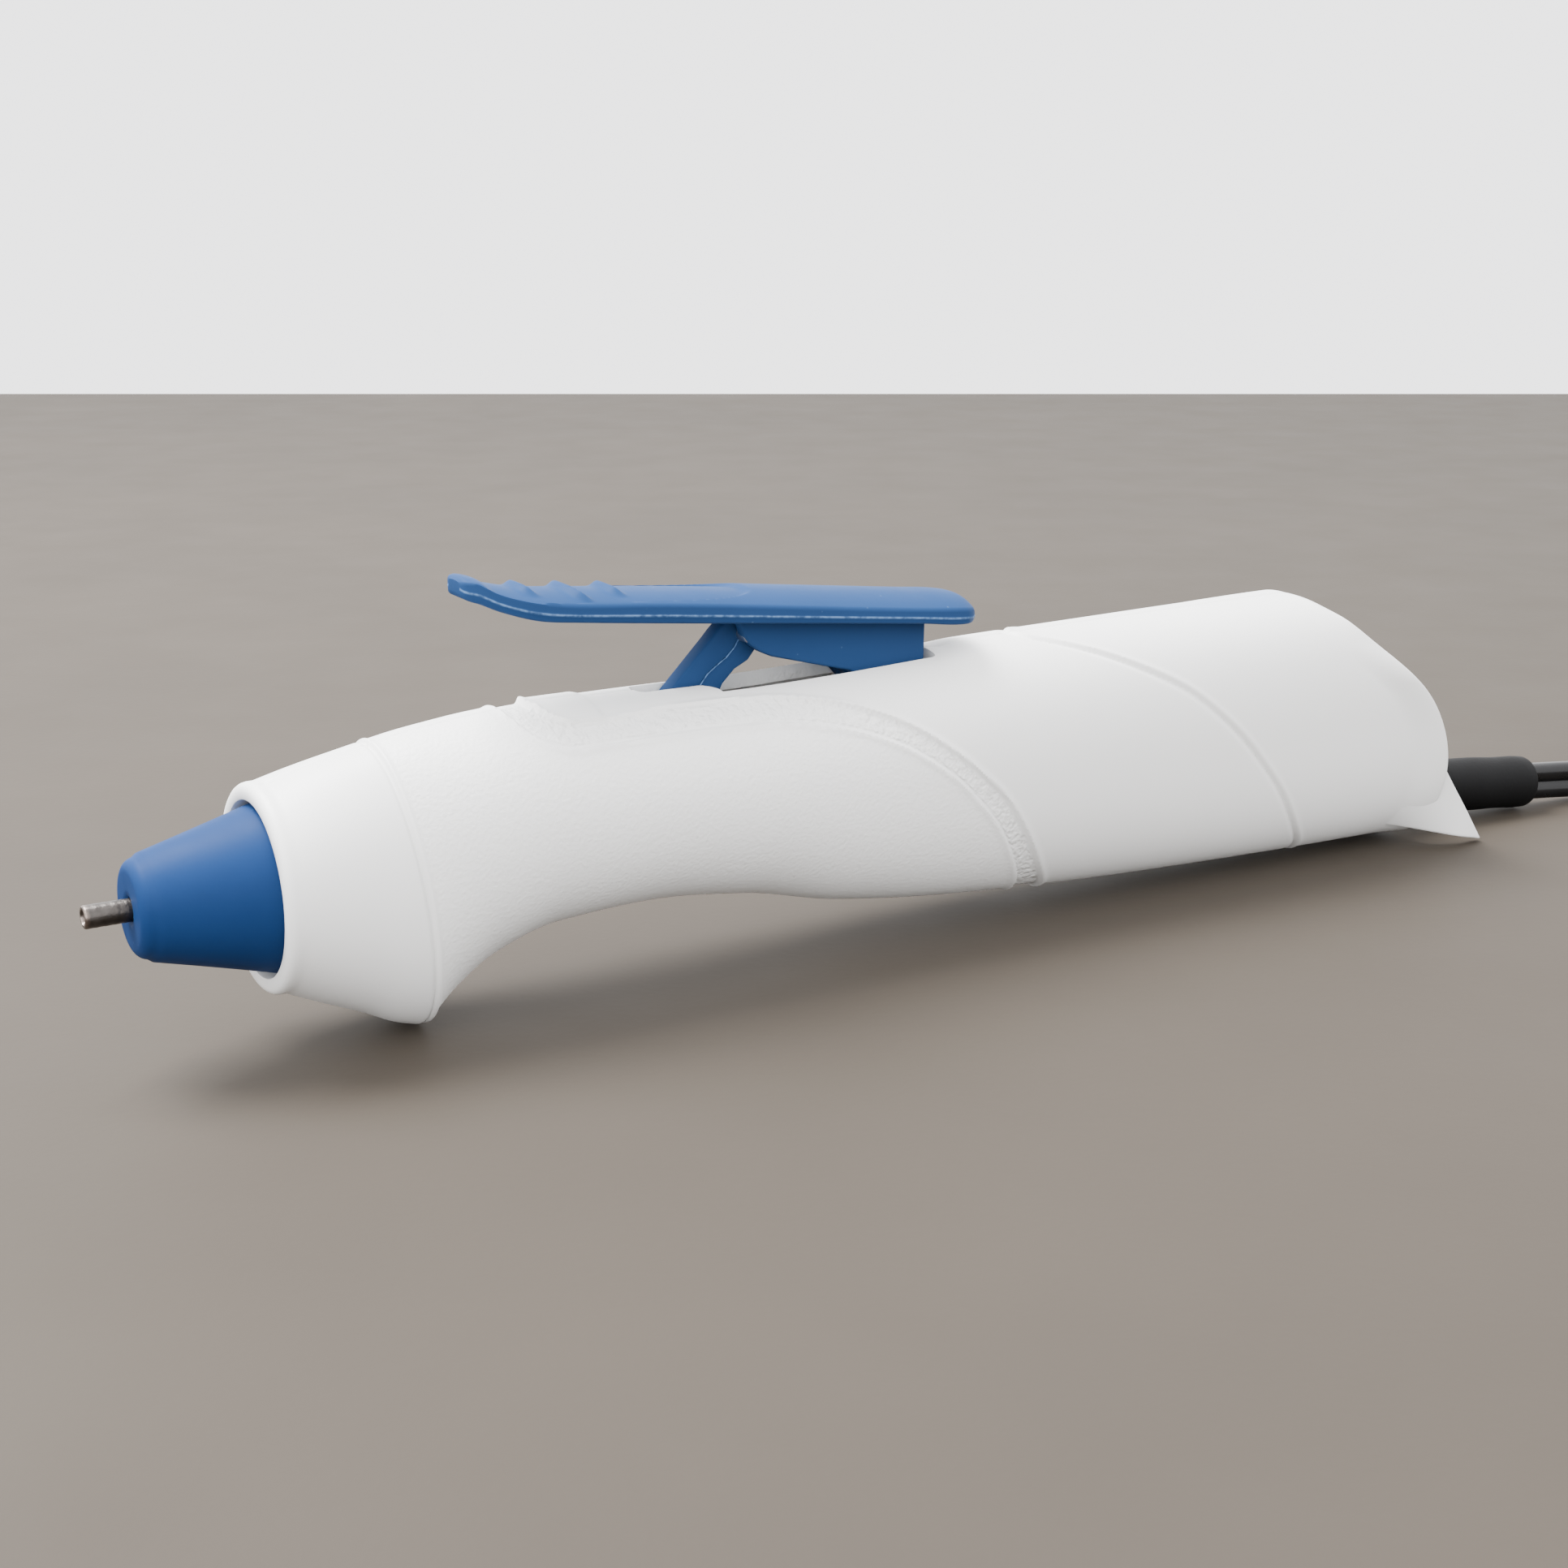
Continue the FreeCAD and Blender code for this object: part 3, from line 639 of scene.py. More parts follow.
def place_piece(obj: Piece, body: Body, slot: str, finish: Finish,
                *nodes: str) -> Piece:
    """Dress a finished piece, let it ride on a body and stand for CAD nodes.

    Args:
        obj: The finished piece.
        body: The body it rides on.
        slot: The record's material slot; not used.
        finish: Its finish.
        nodes: The CAD nodes it stands for.

    Returns:
        The piece.
    """
    dress(obj, finish.build())
    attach(obj, body.value)
    if nodes:
        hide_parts(*nodes)
    log.info("%s: %d faces", obj.name, len(obj.data.polygons))
    return obj


# ---------------------------------------------------------------- casing
@dataclass
class Casing:
    """White clamshell: nose collar, waisted grip, barrel with a slot, and a flared tail rim with two fins."""

    ring_front: float = -18.3
    ring_rear: float = -16.4
    ring_radius: float = 12.35
    ring_hole: float = 10.3
    wall: float = 1.8
    usual_half_width: float = 12.8
    tail_half_width: float = 13.1
    tail_top: float = 38.8
    tail_bottom: float = 0.7
    inlet_radius: float = 5.25
    sleeve_hole_radius: float = 4.3
    sleeve_height: float = 6.6
    foot_front: float = 149.5
    foot_spread: float = 13.5
    heel_lean: float = 0.119
    seam_place: float = 0.3
    rim_warp_from: float = 120.0
    rim_place: float = 157.6
    rim_radius: float = 22.0
    rim_height: float = 10.3
    rim_slope: float = math.radians(47)
    column_step: float = 0.345
    row_count: int = 138
    screw_places: Table = (
        (5.0, 31.0), (24.0, 32.6), (95.0, 31.0), (100.0, 7.4), (126.0, 31.0))
    top: Table = (
        (-16.4, 32.05), (-12.6, 33.1), (-6.5, 34.5), (-2.6, 35.3), (0.3, 35.8), (4.2, 36.3), (10.0, 36.9),
        (18.0, 37.3), (30.0, 37.3), (44.0, 37.2), (58.0, 37.5), (75.0, 38.1), (100.0, 38.5), (130.0, 38.8),
        (150.0, 38.9), (160.0, 38.9))
    collar_bottom: Table = (
        (-16.4, 7.35), (-12.6, 5.6), (-6.5, 2.9), (-2.6, 0.9), (0.3, 0.0))
    grip_bottom: Table = (
        (0.3, 0.0), (4.2, 3.7), (10.0, 7.5), (18.0, 10.0), (30.0, 10.6), (44.0, 9.2), (58.0, 6.0),
        (75.0, 3.8), (100.0, 2.1), (130.0, 1.1), (150.0, 0.7), (160.0, 0.6))
    half_width: Table = (
        (-16.4, 12.35), (0.3, 12.5), (30.0, 12.6), (58.0, 12.8), (100.0, 13.0), (150.0, 13.1), (160.0, 13.2))
    squareness: Table = (
        (-16.4, 2.0), (44.0, 2.0), (75.0, 2.1), (100.0, 2.2), (130.0, 2.4), (160.0, 2.5))
    band_upper: Table = (
        (15.6, 39.0), (16.2, 37.2), (18.8, 35.7), (22.5, 35.5), (30.0, 35.8), (36.5, 35.8), (46.9, 35.4),
        (54.0, 34.3), (59.6, 32.7), (65.1, 30.1), (70.7, 26.2), (74.1, 23.3), (78.0, 19.6), (81.1, 15.5),
        (83.6, 11.8), (86.4, 7.8), (89.5, 4.0), (91.5, 1.0))
    band_lower: Table = (
        (13.0, 39.0), (12.9, 36.8), (14.3, 35.1), (17.0, 33.7), (20.9, 33.3), (31.4, 33.5), (39.4, 33.4),
        (47.5, 32.9), (54.5, 31.6), (60.0, 29.8), (65.0, 27.3), (70.4, 23.4), (74.1, 19.7), (77.1, 16.3),
        (79.9, 12.3), (82.5, 8.3), (84.8, 4.6), (86.6, 1.0))
    tail_seam: Table = (
        (84.0, 38.9), (91.7, 37.2), (97.8, 35.3), (103.6, 32.8), (109.0, 29.9), (113.4, 26.5), (118.2, 22.1),
        (122.2, 17.7), (126.0, 13.2), (129.8, 8.1), (133.4, 3.8), (136.5, 0.0))

    def rim_at(self, z: np.ndarray, forward: float = 0.0) -> np.ndarray:
        """Where the tail rim is at a height.

        Args:
            z: Heights.
            forward: How far the rim is moved towards the nose.

        Returns:
            Places along the pen.
        """
        centre = self.rim_place - self.rim_radius - forward
        rise = np.asarray(z, float) - self.rim_height
        meets = self.rim_radius * math.sin(self.rim_slope)
        arc = centre + np.sqrt(np.maximum(self.rim_radius**2 - np.clip(rise, 0, meets) ** 2, 0))
        return arc - np.maximum(rise - meets, 0) * math.tan(self.rim_slope)

    def angles(self) -> np.ndarray:
        """Angles of the rows from the crest to the underside, closer together at the parting line."""
        fine = np.linspace(math.pi / 2, -math.pi / 2, 4001)
        y = self.usual_half_width * squared_off(np.cos(fine), 2 / 2.2)
        z = 16.0 * squared_off(np.sin(fine), 2 / 2.2)
        along = np.concatenate([[0], np.cumsum(np.hypot(np.diff(y), np.diff(z)))])
        inner = np.linspace(0.6, along[-1] - 0.6, self.row_count)
        rows = np.concatenate([[0, 0.1, 0.22, 0.36], inner, along[-1] - np.array([0.36, 0.22, 0.1, 0])])
        return np.interp(rows, along, fine)

    def section(self, s: np.ndarray, angle: np.ndarray, side: int, inset: float = 0.0) -> np.ndarray:
        """Points of the plain outer shape, or of a shape inside it.

        Args:
            s: Columns, measured where they cross the table.
            angle: Rows.
            side: -1 for the left half and 1 for the right.
            inset: How far inside the outer shape.

        Returns:
            Points of shape (columns, rows, 3).
        """
        collar = np.clip((s - self.ring_rear) / (self.seam_place - self.ring_rear), 0, 1)
        lean = self.heel_lean * np.where(s < self.seam_place, (ease(collar) + collar) / 2,
                                         1 - ease((s - self.seam_place) / 26))
        top_at = s.copy()
        for _ in range(3):
            top_at = s - lean * smooth_table(top_at, self.top)
        top = smooth_table(top_at, self.top)
        bottom = np.where(s < self.seam_place, smooth_table(s, self.collar_bottom),
                          smooth_table(s, self.grip_bottom))
        half = smooth_table(s, self.half_width) - inset
        power = 2 / smooth_table(s, self.squareness)[:, None]
        middle, high = (top + bottom) / 2, (top - bottom) / 2 - inset
        across, rise = np.abs(np.cos(angle))[None, :], np.sin(angle)[None, :]
        across = np.where(across < 1e-9, 0, across) ** power
        y = side * half[:, None] * across
        z = middle[:, None] + high[:, None] * squared_off(rise, power)
        x = s[:, None] - lean[:, None] * z
        y[:, [0, -1]] = 0
        t = np.clip((x - self.rim_warp_from) / (self.rim_place - self.rim_warp_from), 0, None)
        x = np.where(t > 0, self.rim_warp_from + t * (self.rim_at(z) - self.rim_warp_from), x)
        return np.stack([x, y, z], axis=-1)

    def relief(self, points: np.ndarray, columns: np.ndarray, normal: np.ndarray) -> np.ndarray:
        """Height of the moulded details over the plain outer shape.

        Args:
            points: Points of the plain shape, of shape (columns, rows, 3).
            columns: Where the columns cross the table.
            normal: Outward normals at the points.

        Returns:
            Heights of shape (columns, rows).
        """
        x, y, z = points[..., 0], points[..., 1], points[..., 2]
        facing = np.abs(normal[..., 1])
        from_seam = columns[:, None] - self.seam_place + 0 * x
        high = -0.36 * ridge(from_seam + 0.1, 0.30) + 0.22 * ridge(from_seam - 0.5, 0.34)
        lower = line_distance(x, z, rounded_line(self.band_lower), facing)
        upper = line_distance(x, z, rounded_line(self.band_upper), facing)
        inside = ease((upper + 0.2) / 0.4) * (1 - ease((lower + 0.2) / 0.4))
        high += -0.30 * inside + 0.22 * ridge(lower - 0.30, 0.42) + 0.24 * ridge(upper + 0.32, 0.42)
        tail = line_distance(x, z, rounded_line(self.tail_seam), facing)
        high += -0.34 * ridge(tail, 0.38) + 0.18 * ridge(tail + 0.62, 0.42)
        pad = (1 - ease((upper + 0.2) / 0.4)) * (1 - ease((x - 23.4) / 0.5)) * ease((z - 34.5) / 1.5)
        high += 0.30 * pad
        high -= 0.45 * ridge(x - 75.6, 2.2) * ridge(y, 3.6) * (z > 20)
        to_rim = self.rim_at(z) - x
        high += 1.2 * facing**1.5 * (1 - ease(to_rim / 6.5)) * ease((33.5 - z) / 7)
        high -= 0.35 * (1 - ease(to_rim / 2.0)) ** 2 * ease((z - 35.5) / 2.5)
        high -= 0.24 * ridge(y, 0.30)
        return high

    def half(self, side: int) -> Piece:
        """Build one half of the clamshell with its wall thickness.

        Args:
            side: -1 for the left half and 1 for the right.

        Returns:
            The closed half shell, before its slots are cut.
        """
        name = "white_shell_left" if side < 0 else "white_shell_right"
        angle = self.angles()
        count = int((self.rim_place - 0.35 - self.ring_rear) / self.column_step)
        columns = np.linspace(self.ring_rear, self.rim_place - 0.35, count)
        near_seam = np.abs(columns - self.seam_place) < 1.2
        extra = self.seam_place + np.arange(-1.15, 1.2, 0.13)
        columns = np.sort(np.concatenate([columns[~near_seam], extra, [self.seam_place]]))
        columns = columns[np.concatenate([[True], np.diff(columns) > 0.02])]
        plain = self.section(columns, angle, side)
        along, down = np.gradient(plain, axis=0), np.gradient(plain, axis=1)
        normal = np.cross(along, down)
        normal /= np.maximum(np.linalg.norm(normal, axis=-1, keepdims=True), 1e-12)
        outward_way = np.sign((normal * (plain - (0, 0, AXIS_HEIGHT)) * (0, 1, 1)).sum(-1, keepdims=True))
        normal *= np.where(outward_way == 0, 1, outward_way)
        normal[:, 0], normal[:, -1] = (0, 0, 1), (0, 0, -1)
        outer = plain + normal * self.relief(plain, columns, normal)[..., None]
        outer[..., 1] = side * np.maximum(side * outer[..., 1], 0)
        outer[:, [0, -1], 1] = 0
        outer[..., 2] = np.maximum(outer[..., 2], 0)
        across = normal[-1] * (0, 1, 1)
        last = outer[-1]
        rim = [last - across * inset + (step, 0, 0) for inset, step in
               ((0.06, 0.15), (0.2, 0.28), (0.45, 0.35), (1.3, 0.35), (1.55, 0.25), (1.75, 0.0))]
        deep = np.linspace(self.rim_place - 1.5, self.ring_rear, 60)
        inner = self.section(deep, angle, side, self.wall)
        radial = np.stack([np.zeros_like(angle), side * np.cos(angle), np.sin(angle)], axis=-1)
        radial[[0, -1], 1] = 0
        nose = [np.array((place, 0, AXIS_HEIGHT)) + radial * radius for place, radius in
                ((self.ring_rear, self.ring_hole), (-17.9, self.ring_hole), (-18.2, 10.4),
                 (self.ring_front, 10.6), (self.ring_front, 11.3), (-18.2, 11.75), (-17.95, 12.08),
                 (-17.6, 12.28), (-17.2, self.ring_radius), (-16.8, self.ring_radius))]
        rings = np.concatenate([outer, np.array(rim), inner, np.array(nose)])
        around, long = len(angle), len(rings)
        faces = []
        for i in range(long):
            a, b = i * around, (i + 1) % long * around
            faces += [(a + j, b + j, b + j + 1, a + j + 1) for j in range(around - 1)]
        faces.append(tuple(i * around for i in range(long)))
        faces.append(tuple(i * around + around - 1 for i in range(long)))
        return solid(name, rings.reshape(-1, 3), faces)

    def slot_cutter(self) -> Piece:
        """Narrow slot for the link that widens into the slot for the lever's rib."""
        edge = [(30.5, 0.9), (30.9, 1.5), (31.5, 1.8), (38.6, 1.8), (39.3, 1.95), (40.1, 2.5), (40.8, 3.2),
                (41.1, 4.0), (72.2, 4.0), (72.8, 3.75), (73.0, 3.2)]
        outline = [(s, -y) for s, y in edge] + [(s, y) for s, y in reversed(edge)]
        return slab("slot_cutter", outline, 28, 60, upright=True)

    def foot(self, side: int) -> Piece:
        """Fin that carries the tail on one side, growing out of the flange towards its tip.

        Args:
            side: -1 for the left half and 1 for the right.

        Returns:
            The closed fin.
        """
        rows, across = 25, 21
        back, up = (grid.ravel() for grid in
                    np.meshgrid(np.linspace(0, 1, rows), np.linspace(0, 1, across), indexing="ij"))
        s = (1 - back) * (self.foot_front + 0.5 * up) + back * (166.2 - 8.5 * up)
        z = (1 - back) * (4.0 + 9.0 * up) + back * (0.4 + 12.4 * up)
        body = self.tail_half_width * (1 - np.clip((AXIS_HEIGHT - z) / 19.1, 0, 1) ** 2.5) ** 0.4
        flush = body - 0.25 + (self.foot_spread - body) * ease((s - self.foot_front) / 13.5)
        thickness = 3.0 - 1.9 * back
        outer = np.stack([s, side * flush, z], axis=-1)
        inner = np.stack([s, side * (flush - thickness), z], axis=-1)
        count = rows * across
        cells = [i * across + j for i in range(rows - 1) for j in range(across - 1)]
        faces = [(a, a + 1, a + across + 1, a + across) for a in cells]
        faces += [tuple(count + v for v in (a, a + across, a + across + 1, a + 1)) for a in cells]
        border = list(range(0, count, across)) + list(range(count - across + 1, count))
        border += list(range(count - across - 1, 0, -across)) + list(range(across - 2, 0, -1))
        faces += [(a, b, count + b, count + a) for a, b in zip(border, border[1:] + border[:1])]
        fin = solid("foot", np.concatenate([outer, inner]), faces)
        round_edges(fin, 0.4, 3, 40)
        return fin

    def tail_wall(self) -> Piece:
        """Wall inside the tail rim, with the stick inlet and the sleeve's hole."""
        gap = 1.7
        middle, high = (self.tail_top + self.tail_bottom) / 2, (self.tail_top - self.tail_bottom) / 2 - gap
        rings = []
        for z in np.linspace(2.55, 36.6, 40):
            place = self.rim_at(z, 3.2)
            width = (self.tail_half_width - gap) * max(1 - abs((z - middle) / high) ** 2.4, 0.0) ** (1 / 2.4)
            back = [(place, y * width, z) for y in np.linspace(-1, 1, 13)]
            rings.append(back + [(place - 1.6, y * width, z) for y in np.linspace(1, -1, 13)])
        wall = loft("tail_wall", rings)
        carve(wall, rod("inlet", 0, AXIS_HEIGHT, 140, 165, self.inlet_radius, along_x=True),
              rod("sleeve_hole", 0, self.sleeve_height, 145, 165, self.sleeve_hole_radius, along_x=True))
        return smooth(wall, 30)

    def zones(self, obj: Piece) -> None:
        """Paint where the grip's fine grain, the band's coarse grain and the plain surface are."""
        p = places(obj)
        x, y, z = p.T
        facing = np.clip(np.abs(y) / self.usual_half_width, 0.3, 1)
        lower = line_distance(x, z, rounded_line(self.band_lower), facing)
        upper = line_distance(x, z, rounded_line(self.band_upper), facing)
        heel = self.seam_place - self.heel_lean * z
        grip = ease((lower - 0.3) / 0.4) * ease((x - heel - 0.6) / 0.4)
        band = ease((upper - 0.2) / 0.3) * (1 - ease((lower + 0.5) / 0.3))
        paint(obj, "grip", grip)
        paint(obj, "band", band)
        paint(obj, "plain", np.clip(1 - grip - band, 0, 1))

    def build(self) -> None:
        """Build, cut and dress both halves and the tail wall."""
        for side, node in ((-1, "left_shell"), (1, "right_shell")):
            shell = self.half(side)
            cutters = [self.slot_cutter()]
            if side > 0:
                cutters += [rod("screw_well", s, z, 7.5, 20.0, 2.3) for s, z in self.screw_places]
            carve(shell, *cutters)
            merge(shell, self.foot(side))
            smooth(shell, 38)
            self.zones(shell)
            place_piece(shell, Body.CASING, "shell_plastic", SHELL, node)
        wall = self.tail_wall()
        self.zones(wall)
        place_piece(wall, Body.CASING, "shell_plastic", SHELL)


# ---------------------------------------------------------------- nose
@dataclass
class Nose:
    """Soft silicone cone with the steel tube standing out of it."""

    cone_front: float = -32.6
    cone_front_radius: float = 5.6
    cone_rear: float = -16.6
    cone_rear_radius: float = 9.9
    tube_radius: float = 1.35
    tube_bore: float = 0.8

    def cone(self) -> Piece:
        """Spin the silicone cone, with a rounded front edge and a puckered hole for the tube."""
        front, radius = self.cone_front, self.cone_front_radius
        slope = (self.cone_rear_radius - radius) / (self.cone_rear - front)
        profile = [(front + 1.4, 1.42), (front + 0.35, 1.45), (front + 0.06, 1.75), (front, 2.3),
                   (front, 3.6)]
        for k in range(9):
            turn = math.radians(90 - k * 82 / 8)
            profile.append((front + 1.5 - 1.5 * math.sin(turn), radius - 1.35 + 1.55 * math.cos(turn)))
        start = profile[-1][0]
        for k in range(1, 25):
            s = start + (self.cone_rear - start) * k / 24
            profile.append((s, radius + 0.12 + slope * (s - front) - 0.05 * math.sin(k / 24 * math.pi)))
        profile += [(self.cone_rear + 0.2, 10.0), (self.cone_rear + 0.25, 9.6), (self.cone_rear + 0.25, 7.0),
                    (front + 5.7, 6.25), (front + 5.7, 3.7), (front + 1.4, 3.6)]
        return smooth(turned("nose_cone", profile, 128), 40)

    def flange(self) -> Piece:
        """Spin the flange that holds the cone behind the ring."""
        profile = [(-16.3, 6.25), (-16.3, 10.3), (-16.1, 10.42), (-14.6, 10.42), (-14.4, 10.2), (-14.4, 6.25)]
        return smooth(turned("nose_flange", profile, 96), 40)

    def tube(self) -> Piece:
        """Spin the steel tube with a worn mouth, and its base inside the cone."""
        r, bore, mouth = self.tube_radius, self.tube_bore, -NOZZLE_REACH
        profile = [(mouth + 0.25, bore), (mouth, bore + 0.12), (mouth, r - 0.18), (mouth + 0.12, r - 0.04),
                   (mouth + 0.3, r)]
        profile += [(mouth + 0.3 + k * 0.35, r - 0.012 * (k % 3)) for k in range(1, 20)]
        profile += [(-30.8, r), (-30.8, 3.2), (-26.9, 3.2), (-26.9, 2.38), (-21.0, 2.38), (-21.0, 1.3),
                    (-30.5, 1.3), (-30.9, bore)]
        piece = smooth(turned("steel_nozzle", profile, 64), 40)
        p = places(piece)
        edge = ease((mouth + 0.5 - p[:, 0]) / 0.35)
        paint(piece, "edge", edge)
        return piece

    def build(self) -> None:
        """Build and dress the cone and the tube."""
        cone = merge(self.cone(), self.flange())
        place_piece(cone, Body.CASING, "nose_silicone", NOSE, "nose_sleeve")
        place_piece(self.tube(), Body.CASING, "nozzle_steel", NOZZLE, "nozzle_tip")


# ---------------------------------------------------------------- lever and link
@dataclass
class Lever:
    """Thumb paddle with three crescent ribs in a shallow rest, on a box rib that carries both pivots."""

    pivot: tuple[float, float] = (67.0, 33.5)
    link_pivot: tuple[float, float] = (45.5, 42.9)
    half_width: Table = (
        (7.7, 1.6), (7.9, 2.4), (8.5, 3.1), (9.5, 3.9), (11.0, 4.7), (13.5, 5.5), (17.0, 6.1), (21.0, 6.4),
        (27.0, 6.5), (73.0, 6.5), (76.0, 6.25), (77.6, 5.5), (78.3, 4.5), (78.6, 3.2))
    underside: Table = (
        (7.7, 51.7), (7.9, 51.2), (9.5, 50.5), (11.5, 49.6), (16.7, 48.1), (20.6, 47.65), (69.0, 42.4),
        (76.8, 41.55), (78.2, 41.9), (78.6, 42.4))
    rim: Table = (
        (7.7, 52.9), (8.1, 53.1), (8.9, 53.1), (10.0, 52.6), (11.2, 51.9), (13.8, 51.0), (15.8, 50.5),
        (20.0, 49.8), (29.8, 48.9), (70.6, 44.1), (76.5, 43.5), (78.0, 43.2), (78.6, 42.9))
    crest: Table = (
        (7.7, 53.1), (8.3, 53.5), (9.5, 53.3), (11.5, 52.8), (15.5, 51.9), (24.0, 51.0), (40.0, 49.4),
        (52.0, 48.0), (70.0, 45.9), (76.0, 45.2), (77.8, 44.7), (78.6, 43.5))
    ribs: Table = ((15.5, 3.2), (21.3, 4.7), (26.9, 3.2))
    rest_end: float = 45.5
    top_rows: int = 75

    def top_relief(self, s: float, y: np.ndarray) -> np.ndarray:
        """Height of the ribs and the rest over the plain crown.

        Args:
            s: Place along the pen.
            y: Places across the paddle.

        Returns:
            Heights at the places across.
        """
        reach = ((s - 13.0) / (self.rest_end - 13.0)) ** 4 if s > 13 else 0.0
        inside = 1 - ease(((reach + (y / 5.7) ** 4) - 0.9) / 0.2)
        high = -0.50 * inside * float(ease(np.array((s - 9.5) / 2.0)))
        for place, reach_out in self.ribs:
            bow = place + 0.05 * y**2
            high += 0.70 * ridge(np.array(s) - bow, 0.72) * (1 - ease((np.abs(y) - reach_out + 0.9) / 1.9))
        return high

    def paddle(self) -> Piece:
        """Loft the paddle from tip to rear end."""
        s_all = np.concatenate([[7.7, 7.78, 7.9, 8.1, 8.35], np.arange(8.7, 77.4, 0.28),
                                [77.6, 77.9, 78.15, 78.35, 78.5, 78.6]])
        width, low, rim, crest = (smooth_table(s_all, t) for t in
                                  (self.half_width, self.underside, self.rim, self.crest))
        rings = []
        for s, w, zb, zr, zc in zip(s_all, width, low, rim, crest):
            zm = zb + 0.45 * (zr - zb)
            side = [(w - 0.5, zb), (w - 0.2, zb + 0.08), (w - 0.06, zb + 0.25), (w - 0.02, zm - 0.22),
                    (w + 0.09, zm), (w, zm + 0.2), (w, zr - 0.35), (w - 0.08, zr - 0.1)]
            y = np.linspace(1, -1, self.top_rows) * (w - 0.3)
            z = zr + (zc - zr) * (1 - np.abs(y / w) ** 2.3) + self.top_relief(s, y)
            base = np.linspace(-1, 1, 7)[1:-1] * (w - 0.5)
            ring = side + list(zip(y, z)) + [(-a, b) for a, b in reversed(side)] + [(v, zb) for v in base]
            rings.append([(s, a, b) for a, b in ring])
        return loft("thumb_lever", rings)

    def rib(self) -> list[Piece]:
        """Cheeks, bridge, back and hub under the paddle."""
        view = [(43.9, 45.6), (43.9, 44.4), (44.4, 43.0), (45.4, 41.7), (46.8, 40.7), (48.4, 39.95),
                (60.0, 36.8), (63.2, 33.2), (65.0, 31.0), (67.0, 30.3), (69.0, 31.0), (71.2, 33.4),
                (71.4, 42.8), (60.0, 44.0)]
        parts = [slab("cheek", view, y0, y1, 0.35) for y0, y1 in ((-3.5, -1.75), (1.75, 3.5))]
        parts.append(slab("bridge", [(58.0, 37.8), (62.0, 35.2), (62.4, 43.8), (58.0, 44.2)], -1.9, 1.9, 0.2))
        parts.append(slab("back", [(69.8, 34.0), (71.1, 34.0), (71.3, 42.6), (69.8, 42.8)], -1.9, 1.9, 0.2))
        return parts

    def build(self) -> None:
        """Build and dress the lever."""
        lever = smooth(merge(self.paddle(), *self.rib()), 32)
        p = places(lever)
        low, rim = smooth_table(p[:, 0], self.underside), smooth_table(p[:, 0], self.rim)
        wide = smooth_table(p[:, 0], self.half_width)
        # Painted highlight along the paddle's flash line, stored as the edge paint.
        flash = ridge(p[:, 2] - low - 0.45 * (rim - low), 0.13) * (np.abs(p[:, 1]) > wide + 0.03)
        paint(lever, "edge", flash)
        place_piece(lever, Body.LEVER, "lever_plastic", LEVER, "trigger_lever")
        for name, place, reach, radius, body, node in (
                ("lever_axle", self.pivot, 7.0, 1.5, Body.CASING, "lever_pin"),
                ("link_axle", self.link_pivot, 3.2, 1.0, Body.LEVER, "link_pin")):
            axle = rod(name, *place, -reach, reach, radius)
            round_edges(axle, 0.3, 2, 30)
            place_piece(smooth(axle, 40), body, "spring_steel", SPRING, node)


@dataclass
class Link:
    """Slanted bar from the lever to the carriage, with a wavy flash line on its sides."""

    low: tuple[float, float] = (34.0, 31.3)
    high: tuple[float, float] = (45.5, 42.9)
    half_thickness: float = 1.3

    def outline(self, front: bool) -> list[tuple[float, float]]:
        """Side view of the front or rear part of the bar, as (s, z)."""
        (x0, z0), (x1, z1) = self.low, self.high
        long = math.hypot(x1 - x0, z1 - z0)
        wave = [(k / 12 * (long + 2.6) - 1.6, 0.35 * math.sin(k * 1.15)) for k in range(13)]
        if front:
            rest = [(long + 2.0, 2.0), (long + 0.6, 2.9), (long - 2.2, 3.05), (long - 3.6, 3.0), (0.2, 3.05),
                    (-1.2, 2.75), (-2.4, 1.7), (-2.95, 0.4)]
        else:
            rest = [(long + 1.9, -1.9), (long + 0.4, -2.85), (long - 2.0, -3.05), (long - 4.0, -2.35),
                    (long - 6.4, -2.3), (long - 8.6, -3.0), (0.0, -3.05), (-1.5, -2.6), (-2.6, -1.5)]
        local = wave + rest
        dx, dz = (x1 - x0) / long, (z1 - z0) / long
        return [(x0 + u * dx - v * dz, z0 + u * dz + v * dx) for u, v in local]

    def build(self) -> None:
        """Build and dress the link."""
        t = self.half_thickness
        front = slab("push_bar", self.outline(True), -t, t, 0.28)
        rear = slab("push_bar_rear", self.outline(False), 0.14 - t, t - 0.14, 0.2)
        wave = self.outline(True)[:13]
        line = [(s - 0.06, z) for s, z in wave] + [(s + 0.06, z) for s, z in reversed(wave)]
        flash = slab("push_bar_flash", line, -t - 0.05, t + 0.05)
        plain_count = len(front.data.vertices) + len(rear.data.vertices)
        link = smooth(merge(front, rear, flash), 30)
        # Painted highlight on the flash strip, stored as the edge paint.
        paint(link, "edge", np.arange(len(link.data.vertices)) >= plain_count)
        place_piece(link, Body.LINK, "lever_plastic", LEVER, "push_link")


@dataclass
class Spring:
    """Wire spring that pushes the carriage back."""

    front: float = 18.0
    rear: float = 29.5
    radius: float = 6.3
    wire: float = 0.4
    turns: int = 5
    travel: float = 4.3

    def build(self) -> None:
        """Wind the wire."""
        turn = np.linspace(0, self.turns * 2 * math.pi, self.turns * 32 + 1)[:, None]
        round_wire = circle(12)[None, :]
        reach = self.radius + self.wire * np.cos(round_wire)
        along = self.front + (self.rear - self.front) * turn / turn[-1] + self.wire * np.sin(round_wire)
        points = np.stack([along, reach * np.cos(turn), AXIS_HEIGHT + reach * np.sin(turn)], axis=-1)
        piece = smooth(loft("coil_spring", points), 60)
        place_piece(piece, Body.CASING, "spring_steel", SPRING, "return_spring")
        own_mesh(piece)


